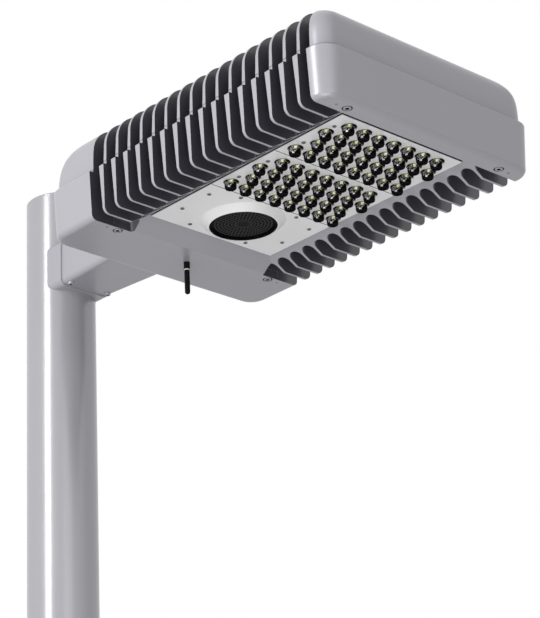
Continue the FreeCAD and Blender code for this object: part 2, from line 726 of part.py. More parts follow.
def make_heat_sink():
    """The lower casting: the panel floor, the driver well and the side fins."""
    body = new_body("lower_heat_sink")
    section = new_sketch(body, "front", CAP_PLANE)
    foot = "({house_half_width} - ({ledge_height} + {house_bottom}) * tan({house_draft}))"
    outline(section, [
        ("{house_half_width}", "{ledge_height}"),
        ("-{house_half_width}", "{ledge_height}"),
        (f"-{foot}", "-{house_bottom}"),
        ("-{fin_foot}", "-{house_bottom}"),
        ("-{panel_half_width}", "{panel_proud}"),
        ("{panel_half_width}", "{panel_proud}"),
        ("{fin_foot}", "-{house_bottom}"),
        (foot, "-{house_bottom}"),
    ])
    extrude(body, "Pad", section, f"{FRONT_PLANE} - {CAP_PLANE}", reverse=True)
    low, high = -value("{house_bottom}"), value("{ledge_height}")
    side = value(foot) - 0.1
    round_edges(body, lambda e, m: abs(e.tangentAt(0).y) > 0.9 and abs(m.z - low) < 0.01
                and abs(m.x) > side, "{fin_round}", "BottomRound")
    bevel_edges(body, lambda e, m: abs(e.tangentAt(0).y) > 0.9 and abs(m.z - high) < 0.01,
                "{ledge_edge}", "LedgeEdge")
    ramp = new_sketch(body, "side", "0", "Ramp")
    outline(ramp, [
        (CAP_PLANE, "-{house_bottom}"),
        (f"{CAP_PLANE} + {{ramp_start}}", "-{house_bottom}"),
        (f"{CAP_PLANE} + {{ramp_end}}", "{panel_proud}"),
        (f"{CAP_PLANE} + {{ramp_end}}", "{panel_proud} + 1"),
        (CAP_PLANE, "{panel_proud} + 1"),
    ])
    extrude(body, "Pad", ramp, "{fin_foot} * 2", middle=True, name="RearRamp")
    cut_slots(body, "{ledge_height}", "{fin_top_thickness}", "{ledge_height} + {house_bottom} + 1",
              "{fin_draft}", int(value("{slot_corner_chords}")))
    well = new_sketch(body, "top", "{ledge_height}", "Well")
    ends = (f"({CAP_PLANE} + {{core_wall}})", f"({FRONT_PLANE} - {{core_wall}})")
    block(well, f"-{CORE_INSIDE}", CORE_INSIDE, ends[0], ends[1])
    extrude(body, "Pocket", well, "{ledge_height} - {core_floor}")
    bosses = new_sketch(body, "top", "{core_floor}", "Bosses")
    screw_bosses(bosses)
    extrude(body, "Pad", bosses, f"{SEAM_TOP} - {{core_floor}}")
    window = new_sketch(body, "front", CAP_PLANE, "CableWindow")
    block(window, "-{window_half_width} / 2", "{window_half_width} / 2", "{core_floor} + 4",
          "{ledge_height} - 4")
    extrude(body, "Pocket", window, "{core_wall} + 1")
    lugs = new_sketch(body, "front", CAP_PLANE, "RearLugs")
    feet = new_sketch(body, "front", FRONT_PLANE, "FrontLugs")
    uprights = new_sketch(body, "front", FRONT_PLANE, "LugUprights")
    for sign in ("", "-"):
        for sketch in (lugs, feet):
            block(sketch, f"{sign}{{lug_inner}}", f"{sign}{{lug_outer}}", CAP_FLOOR,
                  f"{CAP_FLOOR} + {{lug_height}}")
        block(uprights, f"{sign}{{lug_inner}}", f"{sign}({{core_half_width}} - 1)", CAP_FLOOR,
              "{lug_upright_top}")
    extrude(body, "Pad", lugs, "{lug_depth}")
    extrude(body, "Pad", uprights, "{lug_upright}", reverse=True)
    extrude(body, "Pad", feet, "{lug_depth}", reverse=True)
    taps = new_sketch(body, "top", f"{CAP_FLOOR} - 1", "LugTaps")
    for sign in ("", "-"):
        for screw in (REAR_SCREW, FRONT_SCREW):
            ring(taps, f"{sign}{{cap_screw_side}}", screw, "{cap_screw_radius} + 0.05")
    extrude(body, "Pocket", taps, "{lug_height} + 2", reverse=True)
    boards = new_sketch(body, "top", "0", "BoardRecess")
    panel_windows(boards)
    extrude(body, "Pocket", boards, RECESS, reverse=True)
    opening = new_sketch(body, "top", "0", "DriverOpening")
    ring(opening, "0", SPEAKER, "{driver_opening}")
    extrude(body, "Pocket", opening, "{core_floor} + 1", reverse=True)
    sinks = new_sketch(body, "top", "0", "HeadSinks")
    bores = new_sketch(body, "top", "0", "BossBores")
    for sign in ("", "-"):
        for bay in HOUSE_SCREW_BAYS:
            across = f"{sign}{{house_screw_side}}"
            ring(sinks, across, bay, "{house_screw_flats} / cos(30) + {fit_clearance}")
            ring(bores, across, bay, "{house_screw_radius} + {fit_clearance}")
    extrude(body, "Pocket", sinks, f"{RECESS} + {{house_screw_head_height}}", reverse=True)
    extrude(body, "Pocket", bores, f"{SEAM_TOP} + 1", reverse=True)


def screw_bosses(sketch):
    """Draw the boss of each long housing screw, joined to the side wall."""
    for sign in ("", "-"):
        for bay in HOUSE_SCREW_BAYS:
            block(sketch, f"{sign}({{house_screw_side}} - {{boss_half_width}})", f"{sign}{CORE_INSIDE}",
                  f"{bay} - {{boss_half_width}}", f"{bay} + {{boss_half_width}}")


def panel_windows(sketch):
    """Draw the openings round both boards and round the loudspeaker's flange."""
    for bay in (BAY_REAR, BAY_FRONT):
        block(sketch, "-({board_half_width} + {fit_clearance})", "{board_half_width} + {fit_clearance}",
              f"{bay} - {{board_half_length}} - {{fit_clearance}}",
              f"{bay} + {{board_half_length}} + {{fit_clearance}}")
    ring(sketch, "0", SPEAKER, "{driver_flange_radius} + {fit_clearance}")


def panel_screws(kind):
    """Places of the small screws of the lighting plates or of the loudspeaker's plate."""
    places = []
    if kind == "led":
        for bay in (BAY_REAR, BAY_FRONT):
            for rows in ("- {row_pitch} / 2", "+ {row_pitch} * 1.5"):
                for sign in ("", "-"):
                    places.append((f"{sign}{{led_screw_side}}", f"{bay} {rows} - {{led_screw_offset}}"))
        return places
    for sign in ("", "-"):
        for turn in "+-":
            places.append((f"{sign}{{side_screw_side}}",
                           f"{BAY_SPEAKER} + {{side_screw_lead}} {turn} {{side_screw_spread}}"))
            places.append((f"{sign}{{end_screw_side}}", f"{SPEAKER} {turn} {{end_screw_spread}}"))
    return places


def make_upper_housing():
    """The ribbed upper casting over the driver well, its seam gasket and its long screws."""
    body = new_body("upper_housing")
    section = new_sketch(body, "front", CAP_PLANE)
    start = "({dome_top} - {dome_round})"
    side = f"({DOME_HALF_WIDTH} - {{dome_draft}})"
    inner = f"({side} - {{dome_round}})"
    outline(section, [
        (f"-{DOME_HALF_WIDTH}", "{ledge_height}"),
        (DOME_HALF_WIDTH, "{ledge_height}"),
        (side, start, inner, start, "left"),
        (inner, "{dome_top}"),
        (f"-{inner}", "{dome_top}", f"-{inner}", start, "left"),
        (f"-{side}", start),
    ])
    extrude(body, "Pad", section, f"{FRONT_PLANE} - {CAP_PLANE}", reverse=True)
    height = "({dome_top} - {ledge_height})"
    lean = f"atan(({{rib_base_thickness}} - {{rib_top_thickness}}) / 2 / {height})"
    cut_slots(body, "{dome_top}", "{rib_top_thickness}", f"{height} + 1", f"-1 * {lean}")
    over_core = "({slot_end} + 1)"
    first = new_sketch(body, "top", "{dome_top}", "FirstTopGap")
    block(first, f"-{over_core}", over_core, f"{CAP_PLANE} - 1",
          f"{CAP_PLANE} + {{fin_pitch}} - {{rib_top_thickness}} / 2")
    extrude(body, "Pocket", first, "{dome_top} - {core_top}", taper=f"-1 * {lean}", name="FirstTopCut")
    tops = new_sketch(body, "top", "{dome_top}", "TopSlots")
    block(tops, f"-{over_core}", over_core, f"{CAP_PLANE} + {{fin_pitch}} + {{rib_top_thickness}} / 2",
          f"{CAP_PLANE} + {{fin_pitch}} * 2 - {{rib_top_thickness}} / 2")
    cut = extrude(body, "Pocket", tops, "{dome_top} - {core_top}", taper=f"-1 * {lean}", name="TopSlotCut")
    repeat(body, [cut], "Y_Axis", "{fin_pitch}", "{fin_count}")
    ends = (f"({CAP_PLANE} + {{core_wall}})", f"({FRONT_PLANE} - {{core_wall}})")
    seam = new_sketch(body, "top", "{ledge_height}", "SeamStep")
    block(seam, "-{core_half_width}", "{core_half_width}", f"{CAP_PLANE} - 1", f"{FRONT_PLANE} + 1")
    extrude(body, "Pocket", seam, "{seam_thickness}", reverse=True)
    well = new_sketch(body, "top", SEAM_TOP, "Well")
    block(well, f"-{CORE_INSIDE}", CORE_INSIDE, ends[0], ends[1])
    extrude(body, "Pocket", well, f"{{core_top}} - {{core_roof}} - {SEAM_TOP}", reverse=True)
    bosses = new_sketch(body, "top", SEAM_TOP, "Bosses")
    screw_bosses(bosses)
    bores = new_sketch(body, "top", SEAM_TOP, "BossTaps")
    for sign in ("", "-"):
        for bay in HOUSE_SCREW_BAYS:
            ring(bores, f"{sign}{{house_screw_side}}", bay, "{house_screw_radius} + 0.05")
    extrude(body, "Pad", bosses, "{boss_rise}")
    extrude(body, "Pocket", bores, "{boss_rise} - 2", reverse=True)
    window = new_sketch(body, "front", CAP_PLANE, "CableWindow")
    block(window, "-{window_half_width} / 2", "{window_half_width} / 2", f"{SEAM_TOP} + 4",
          "{window_top}")
    extrude(body, "Pocket", window, "{core_wall} + 1")

    gasket = new_body("seam_gasket")
    frame = new_sketch(gasket, "top", "{ledge_height}")
    block(frame, "-{core_half_width}", "{core_half_width}", CAP_PLANE, FRONT_PLANE)
    block(frame, f"-{CORE_INSIDE}", CORE_INSIDE, ends[0], ends[1])
    extrude(gasket, "Pad", frame, "{seam_thickness}")

    screws = new_body("housing_screws")
    seat = f"({RECESS} + {{house_screw_head_height}})"
    for sign in ("", "-"):
        for bay in HOUSE_SCREW_BAYS:
            head = new_sketch(screws, "top", seat, "Head")
            polygon(head, f"{sign}{{house_screw_side}}", bay, "{house_screw_flats}")
            extrude(screws, "Pad", head, "{house_screw_head_height}", reverse=True)
            shank = new_sketch(screws, "top", seat, "Shank")
            ring(shank, f"{sign}{{house_screw_side}}", bay, "{house_screw_radius}")
            extrude(screws, "Pad", shank, f"{SEAM_TOP} + {{boss_rise}} - 4 - {seat}")


def fill_rows(body, kind, bay, at, draw, length, reverse=False, taper=None):
    """Draw and extrude one item, then repeat it over the long rows and over the short rows."""
    for count, rows in (("{lens_row_long}", ("- 1.5", "+ 0.5")), ("{lens_row_short}", ("- 0.5", "+ 1.5"))):
        sketch = new_sketch(body, "top", at, "RowStart")
        for row in rows:
            draw(sketch, f"(0 - {{lens_pitch}} * ({count} - 1) / 2)", f"({bay} {row} * {{row_pitch}})")
        item = extrude(body, kind, sketch, length, reverse=reverse, taper=taper)
        repeat(body, [item], "X_Axis", "{lens_pitch}", count)


def make_lighting(place_name, bay):
    """One lighting module: its plate, its board, the emitters on it and the lenses over them."""
    half = "({bay_length} / 2 - {plate_gap} / 2)"
    plate = new_body(f"led_plate_{place_name}")
    face = new_sketch(plate, "top", "0")
    block(face, "-{panel_half_width}", "{panel_half_width}", f"{bay} - {half}", f"{bay} + {half}")
    extrude(plate, "Pad", face, "{plate_thickness}")
    fill_rows(plate, "Pocket", bay, "0",
              lambda sketch, across, up: block(sketch, f"{across} - {{aperture_half_size}}",
                                               f"{across} + {{aperture_half_size}}",
                                               f"{up} - {{aperture_half_size}}",
                                               f"{up} + {{aperture_half_size}}"),
              "{plate_thickness} + 1", reverse=True)

    board = new_body(f"led_board_{place_name}")
    under = "({plate_thickness} + {board_space})"
    face = new_sketch(board, "top", under)
    block(face, "-{board_half_width}", "{board_half_width}",
          f"{bay} - {{board_half_length}}", f"{bay} + {{board_half_length}}")
    extrude(board, "Pad", face, "{board_thickness}")

    chips = new_body(f"led_chips_{place_name}")
    fill_rows(chips, "Pad", bay, under,
              lambda sketch, across, up: block(sketch, f"{across} - {{chip_half_size}}",
                                               f"{across} + {{chip_half_size}}",
                                               f"{up} - {{chip_half_size}}",
                                               f"{up} + {{chip_half_size}}"),
              "{chip_height}", reverse=True)

    lenses = new_body(f"lenses_{place_name}")
    lean = "-1 * atan(({lens_base_half_width} - {lens_end_half_width}) / {lens_depth})"
    fill_rows(lenses, "Pad", bay, "0",
              lambda sketch, across, up: polygon(sketch, across, up, "{lens_base_half_width}", 8),
              "{lens_depth}", reverse=True, taper=lean)


def plate_screws(label, kind):
    """Heads of the small screws that hold the plates to the heat sink."""
    body = new_body(label)
    heads = new_sketch(body, "top", "0", "Heads")
    for across, out in panel_screws(kind):
        polygon(heads, across, out, "{screw_head_half_width}", 8)
    extrude(body, "Pad", heads, "{screw_head_height}", reverse=True)


def make_panel_gasket():
    """The rubber sheet under the three plates, cut out for the boards and the loudspeaker."""
    body = new_body("panel_gasket")
    sheet = new_sketch(body, "top", "{plate_thickness}")
    block(sheet, "-{panel_half_width}", "{panel_half_width}", PANEL_REAR, f"{PANEL_REAR} + {{bay_length}} * 3")
    panel_windows(sheet)
    extrude(body, "Pad", sheet, "{panel_proud} - {plate_thickness}")


def turned(label, name, corners):
    """A piece turned about the loudspeaker's axis, from points (radius, height)."""
    body = new_body(label)
    profile = new_sketch(body, "front", SPEAKER, name)
    outline(profile, corners)
    revolve(body, profile)
    return body


def make_speaker():
    """The loudspeaker bay: plate, bezel, grille and the driver behind them."""
    half = "({bay_length} / 2 - {plate_gap} / 2)"
    plate = new_body("speaker_plate")
    face = new_sketch(plate, "top", "0")
    block(face, "-{panel_half_width}", "{panel_half_width}", f"{BAY_SPEAKER} - {half}",
          f"{BAY_SPEAKER} + {half}")
    ring(face, "0", SPEAKER, "{driver_opening}")
    extrude(plate, "Pad", face, "{plate_thickness}")
    plate_screws("speaker_plate_screws", "speaker")

    lip = "(0 - {speaker_hang} + {grille_rim_depth} + 0.1)"
    turned("speaker_bezel", "Ring", [
        ("{bezel_lip_radius}", "0"),
        ("{bezel_lip_radius}", lip),
        ("{speaker_radius} + 0.1", lip),
        ("{speaker_radius} + 0.1", "-{speaker_hang}"),
        ("{bezel_end_radius}", "-{speaker_hang}"),
        ("{bezel_base_radius}", "0"),
    ])
    rim = "({speaker_radius} - {grille_rim_width})"
    turned("speaker_grille", "Disc", [
        ("0", lip),
        ("{speaker_radius}", lip),
        ("{speaker_radius}", f"{lip} - {{grille_rim_depth}}"),
        (rim, f"{lip} - {{grille_rim_depth}}"),
        (rim, f"{lip} - {{grille_thickness}}"),
        ("{grille_boss_radius}", f"{lip} - {{grille_thickness}}"),
        ("0", f"{lip} - {{grille_thickness}} * 1.8"),
    ])
    flange = RECESS
    back = f"({flange} + {{driver_depth}})"
    turned("speaker_frame", "Basket", [
        ("{cone_radius}", "{plate_thickness}"),
        ("{driver_flange_radius}", "{plate_thickness}"),
        ("{driver_flange_radius}", flange),
        ("{driver_basket_radius}", flange),
        ("{driver_back_radius}", back),
        ("0", back),
        ("0", f"{back} - {{driver_wall}}"),
        ("{driver_back_radius} - {driver_wall}", f"{back} - {{driver_wall}}"),
        ("{cone_radius}", flange),
    ])
    throat = "({plate_thickness} + {cone_depth})"
    turned("speaker_cone", "Cone", [
        ("{cone_radius}", "{plate_thickness}"),
        ("{cone_throat_radius}", throat),
        ("0", f"{throat} - {{cone_depth}} / 4"),
        ("0", f"{throat} - {{cone_depth}} / 4 + {{cone_thickness}}"),
        ("{cone_throat_radius}", f"{throat} + {{cone_thickness}}"),
        ("{cone_radius}", "{plate_thickness} + {cone_thickness} * 1.5"),
    ])
    turned("speaker_magnet", "Magnet", [
        ("0", back),
        ("{magnet_radius}", back),
        ("{magnet_radius}", f"{back} + {{magnet_depth}}"),
        ("0", f"{back} + {{magnet_depth}}"),
    ])


def rod(label, low, high, radius):
    """An upright round piece at the antenna's place."""
    body = new_body(label)
    sketch = new_sketch(body, "top", low)
    ring(sketch, "-{antenna_side}", "{antenna_out}", radius)
    extrude(body, "Pad", sketch, f"{high} - ({low})")
    return body


def make_antenna():
    """The stub antenna under the rear compartment and the nut that holds it."""
    top = "(0 - {house_bottom})"
    joint = f"({top} - {{antenna_sleeve_length}})"
    sleeve = rod("antenna_sleeve", joint, top, "{antenna_sleeve_radius}")
    stem = new_sketch(sleeve, "top", top, "Stem")
    ring(stem, "-{antenna_side}", "{antenna_out}", "{antenna_stem_radius}")
    extrude(sleeve, "Pad", stem, "{cap_wall} + {antenna_nut_height} + 2")
    rod("antenna_ring", f"{joint} - {{antenna_ring_length}}", joint, "{antenna_whip_radius} + 0.4")
    tip = f"({top} - {{antenna_length}})"
    whip = rod("antenna_whip", tip, f"{joint} - {{antenna_ring_length}}", "{antenna_whip_radius}")
    low = value(tip)
    round_edges(whip, lambda e, m: abs(m.z - low) < 0.01, "{antenna_whip_radius} * 0.9")
    nut = new_body("antenna_nut")
    section = new_sketch(nut, "top", CAP_FLOOR)
    polygon(section, "-{antenna_side}", "{antenna_out}", "{antenna_nut_flats}")
    ring(section, "-{antenna_side}", "{antenna_out}", "{antenna_stem_radius} + 0.05")
    extrude(nut, "Pad", section, "{antenna_nut_height}")


def box(label, low_across, high_across, low_out, high_out, low, high):
    """A closed electrical unit, modelled as its outer case."""
    body = new_body(label)
    sketch = new_sketch(body, "top", low)
    block(sketch, low_across, high_across, low_out, high_out)
    extrude(body, "Pad", sketch, f"{high} - ({low})")
    return body


def make_electrics():
    """The supply under the roof of the well and the units on the rear cap's floor."""
    ceiling = "({core_top} - {core_roof})"
    box("led_driver", "-{supply_half_width}", "{supply_half_width}",
        f"({BAY_REAR} + {BAY_FRONT}) / 2 - {{supply_length}} / 2",
        f"({BAY_REAR} + {BAY_FRONT}) / 2 + {{supply_length}} / 2",
        f"{ceiling} - {{supply_height}}", ceiling)
    box("wireless_amplifier", "-{amplifier_inner} - {amplifier_width}", "-{amplifier_inner}",
        "{amplifier_rear}", "{amplifier_rear} + {amplifier_length}",
        CAP_FLOOR, f"{CAP_FLOOR} + {{amplifier_height}}")
    box("terminal_block", "{terminal_inner}", "{terminal_inner} + {terminal_width}",
        "{terminal_rear}", "{terminal_rear} + {terminal_length}",
        CAP_FLOOR, f"{CAP_FLOOR} + {{terminal_height}}")
    box("surge_protector", "{terminal_inner}", "{terminal_inner} + {surge_width}",
        "{surge_rear}", "{surge_rear} + {surge_length}",
        CAP_FLOOR, f"{CAP_FLOOR} + {{surge_height}}")


def check_document():
    """Stop where an object failed or a piece is empty or not valid."""
    doc.recompute()
    for item in doc.Objects:
        if "Invalid" in item.State or "Error" in item.State:
            raise RuntimeError(f"{item.Name} in {item.FullName} is {item.State}")
    for body in pieces():
        if body.Shape.isNull() or not body.Shape.isValid():
            raise RuntimeError(f"{body.Label} has no valid shape")


def pieces():
    """The finished sub-parts, one for each node."""
    return [item for item in doc.Objects if item.TypeId == "PartDesign::Body"]


def write_pieces():
    """Write each piece to a file named after its node."""
    for body in pieces():
        body.Shape.exportStep(f"parts/{body.Label}.step")


make_pole()
make_arm()
make_caps()
make_heat_sink()
make_upper_housing()
make_panel_gasket()
make_lighting("rear", BAY_REAR)
make_lighting("front", BAY_FRONT)
plate_screws("led_plate_screws", "led")
make_speaker()
make_antenna()
make_electrics()
check_document()
write_pieces()
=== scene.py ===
"""Dresses the pole-mounted area light: finishes, lens cups, grille, joints, screws and studio."""

import json
import logging
import math
from dataclasses import dataclass, field
from enum import Enum
from typing import Any

import bmesh
import bpy
from mathutils import Matrix, Vector

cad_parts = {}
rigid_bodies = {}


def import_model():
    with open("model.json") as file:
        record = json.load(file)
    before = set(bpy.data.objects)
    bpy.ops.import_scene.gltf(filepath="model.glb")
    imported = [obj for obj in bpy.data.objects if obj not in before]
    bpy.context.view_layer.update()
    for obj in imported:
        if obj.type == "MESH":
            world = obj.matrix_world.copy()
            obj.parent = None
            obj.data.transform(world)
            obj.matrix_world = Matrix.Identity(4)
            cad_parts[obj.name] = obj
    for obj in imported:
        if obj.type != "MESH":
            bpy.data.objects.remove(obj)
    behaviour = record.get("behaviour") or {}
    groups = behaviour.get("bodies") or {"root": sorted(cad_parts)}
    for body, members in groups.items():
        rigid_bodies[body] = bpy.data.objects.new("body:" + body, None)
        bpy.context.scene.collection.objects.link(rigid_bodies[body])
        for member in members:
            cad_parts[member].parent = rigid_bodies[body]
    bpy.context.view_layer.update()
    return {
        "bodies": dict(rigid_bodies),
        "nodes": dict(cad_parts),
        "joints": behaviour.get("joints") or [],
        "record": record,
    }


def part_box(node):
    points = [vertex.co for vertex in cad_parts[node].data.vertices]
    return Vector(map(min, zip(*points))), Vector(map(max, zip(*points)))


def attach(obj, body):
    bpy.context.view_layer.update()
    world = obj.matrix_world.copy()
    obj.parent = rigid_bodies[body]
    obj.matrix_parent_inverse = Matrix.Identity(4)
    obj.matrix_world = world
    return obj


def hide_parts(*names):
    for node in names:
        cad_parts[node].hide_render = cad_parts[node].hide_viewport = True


LOG = logging.getLogger("area_light")
Colour = tuple[float, float, float]
Point = tuple[float, float, float]
Profile = tuple[tuple[float, float], ...]
MM = 0.001


class Number:
    """A shader value whose arithmetic adds Math nodes."""

    def __init__(self, shader: "Shader", socket: Any) -> None:
        """Keep the socket and the shader it belongs to.

        Args:
            shader: The shader that new nodes are added to.
            socket: The output socket that carries the value.
        """
        self.shader = shader
        self.socket = socket

    def math(self, operation: str, *others: Any) -> "Number":
        """Add one Math node.

        Args:
            operation: The Math node's operation.
            others: The second and third operands.

        Returns:
            The node's result.
        """
        node = self.shader.node("ShaderNodeMath", {"operation": operation},
                                dict(enumerate((self, *others))))
        return Number(self.shader, node.outputs[0])

    def __add__(self, other: Any) -> "Number":
        """Sum."""
        return self.math("ADD", other)

    def __radd__(self, other: Any) -> "Number":
        """Sum with a plain number first."""
        return self.math("ADD", other)

    def __sub__(self, other: Any) -> "Number":
        """Difference."""
        return self.math("SUBTRACT", other)

    def __rsub__(self, other: float) -> "Number":
        """Difference from a plain number."""
        return self.math("MULTIPLY", -1.0).math("ADD", other)

    def __mul__(self, other: Any) -> "Number":
        """Product."""
        return self.math("MULTIPLY", other)

    def __rmul__(self, other: Any) -> "Number":
        """Product with a plain number first."""
        return self.math("MULTIPLY", other)

    def __truediv__(self, other: Any) -> "Number":
        """Quotient."""
        return self.math("DIVIDE", other)

    def __rtruediv__(self, other: float) -> "Number":
        """Quotient of a plain number."""
        return self.math("POWER", -1.0).math("MULTIPLY", other)

    def __gt__(self, other: Any) -> "Number":
        """One where this is the greater, else nought."""
        return self.math("GREATER_THAN", other)

    def __lt__(self, other: Any) -> "Number":
        """One where this is the smaller, else nought."""
        return self.math("LESS_THAN", other)

    def __abs__(self) -> "Number":
        """Size without its sign."""
        return self.math("ABSOLUTE")

    def ease(self, low: float, high: float) -> "Number":
        """Rise smoothly from nought at low to one at high.

        Args:
            low: Where the rise starts.
            high: Where it ends, which may lie below low.

        Returns:
            The eased value.
        """
        node = self.shader.node("ShaderNodeMapRange", {"interpolation_type": "SMOOTHSTEP"},
                                {0: self, 1: low, 2: high, 3: 0.0, 4: 1.0})
        return Number(self.shader, node.outputs[0])


class Shader:
    """A material or the world, and the one method that adds nodes to it."""

    def __init__(self, name: str, library: Any = None) -> None:
        """Start an empty material or world.

        Args:
            name: Its name.
            library: Where it is made, which is among the materials unless given.
        """
        self.owner = (bpy.data.materials if library is None else library).new(name)
        self.owner.use_nodes = True
        self.tree = self.owner.node_tree
        self.tree.nodes.clear()

    def node(self, kind: str, settings: dict[str, Any] | None = None,
             values: dict[Any, Any] | None = None) -> Any:
        """Add a node.

        Args:
            kind: The node's type.
            settings: Properties to set first.
            values: Numbers, colours or sockets by input name or index.

        Returns:
            The new node.
        """
        node = self.tree.nodes.new(kind)
        for key, value in (settings or {}).items():
            setattr(node, key, value)
        for key, value in (values or {}).items():
            socket = node.inputs[key]
            if isinstance(value, Number):
                self.tree.links.new(value.socket, socket)
            elif isinstance(value, bpy.types.NodeSocket):
                self.tree.links.new(value, socket)
            elif isinstance(value, tuple) and len(value) == 3 and len(socket.default_value) == 4:
                socket.default_value = (*value, 1.0)
            else:
                socket.default_value = value
        return node

    def coordinates(self, kind: str) -> Any:
        """Give the socket of one kind of texture coordinate."""
        return self.node("ShaderNodeTexCoord").outputs[kind]

    def parts(self, kind: str) -> tuple[Number, ...]:
        """Split a texture coordinate along the three axes.

        Args:
            kind: Object for the place in metres, Normal for the way the surface faces.

        Returns:
            The parts along X, Y and Z.
        """
        split = self.node("ShaderNodeSeparateXYZ", None, {0: self.coordinates(kind)})
        return tuple(Number(self, out) for out in split.outputs)

    def noise(self, scale: float, detail: float, rough: float,
              stretch: Point = (1.0, 1.0, 1.0)) -> Number:
        """Add cloudy noise.

        Args:
            scale: Features to the metre.
            detail: Octaves of finer noise.
            rough: Weight of the finer noise.
            stretch: Scale along each axis, for streaks.

        Returns:
            Noise about one half.
        """
        place = self.node("ShaderNodeMapping", None,
                          {"Vector": self.coordinates("Object"), "Scale": stretch})
        node = self.node("ShaderNodeTexNoise", None, {"Vector": place.outputs[0], "Scale": scale,
                                                      "Detail": detail, "Roughness": rough})
        return Number(self, node.outputs[0])

    def blend(self, share: Any, first: Any, second: Any) -> Any:
        """Mix two colours.

        Args:
            share: How much of the second.
            first: Colour or socket.
            second: Colour or socket.

        Returns:
            The mixed colour's socket.
        """
        node = self.node("ShaderNodeMix", {"data_type": "RGBA"}, {0: share, 6: first, 7: second})
        return node.outputs[2]

    def bump(self, height: Number, depth: float) -> Any:
        """Raise the surface by a height.

        Args:
            height: The pattern.
            depth: Its depth in metres.

        Returns:
            The bumped normal's socket.
        """
        node = self.node("ShaderNodeBump", None, {"Height": height, "Distance": depth,
                                                  "Strength": 1.0})
        return node.outputs[0]

    def seen(self) -> Number:
        """Tell where the camera looks, also in a mirror or through a clear piece.

        Returns:
            One for such a ray, nought for a ray of light.
        """
        path = self.node("ShaderNodeLightPath")
        share, *others = (Number(self, path.outputs[f"Is {ray} Ray"])
                          for ray in ("Camera", "Glossy", "Transmission"))
        for ray in others:
            share = share.math("MAXIMUM", ray)
        return share

    def finish(self, **values: Any) -> bpy.types.Material:
        """Close the material with one surface shader.

        Args:
            values: Inputs of the surface shader, with _ for a space.

        Returns:
            The finished material.
        """
        inputs = {key.replace("_", " "): value for key, value in values.items()}
        surface = self.node("ShaderNodeBsdfPrincipled", None, inputs)
        output = self.node("ShaderNodeOutputMaterial")
        self.tree.links.new(surface.outputs[0], output.inputs[0])
        return self.owner


@dataclass(frozen=True)
class Coat:
    """A powder or wet coat with fine metallic flake and a slight orange peel."""

    name: str
    colour: Colour
    roughness: float
    metallic: float
    flake: float = 0.05
    peel: float = 0.00006
    spread: float = 0.12
    flake_scale: float = 2600.0
    cloud_scale: float = 9.0
    peel_scale: float = 420.0

    def silver(self, shader: Shader) -> tuple[Any, Number, Number]:
        """Make the coat's own colour and grain.

        Args:
            shader: The shader to add nodes to.

        Returns:
            The colour, the roughness and the peel's height.
        """
        fine = shader.noise(self.flake_scale, 2.0, 0.6)
        cloud = shader.noise(self.cloud_scale, 4.0, 0.55)
        bright = tuple(min(1.0, c * (1.0 + self.flake * 2)) for c in self.colour)
        dull = tuple(c * (1.0 - self.flake * 2) for c in self.colour)
        colour = shader.blend(fine * 0.6 + cloud * 0.4, dull, bright)
        rough = cloud * self.spread + (self.roughness - self.spread / 2)
        return colour, rough, shader.noise(self.peel_scale, 1.0, 0.4) * 0.7 + fine * 0.3

    def build(self) -> bpy.types.Material:
        """Make the material.

        Returns:
            The coat.
        """
        shader = Shader(self.name)
        colour, rough, peel = self.silver(shader)
        return shader.finish(Base_Color=colour, Roughness=rough, Metallic=self.metallic,
                             Normal=shader.bump(peel, self.peel))


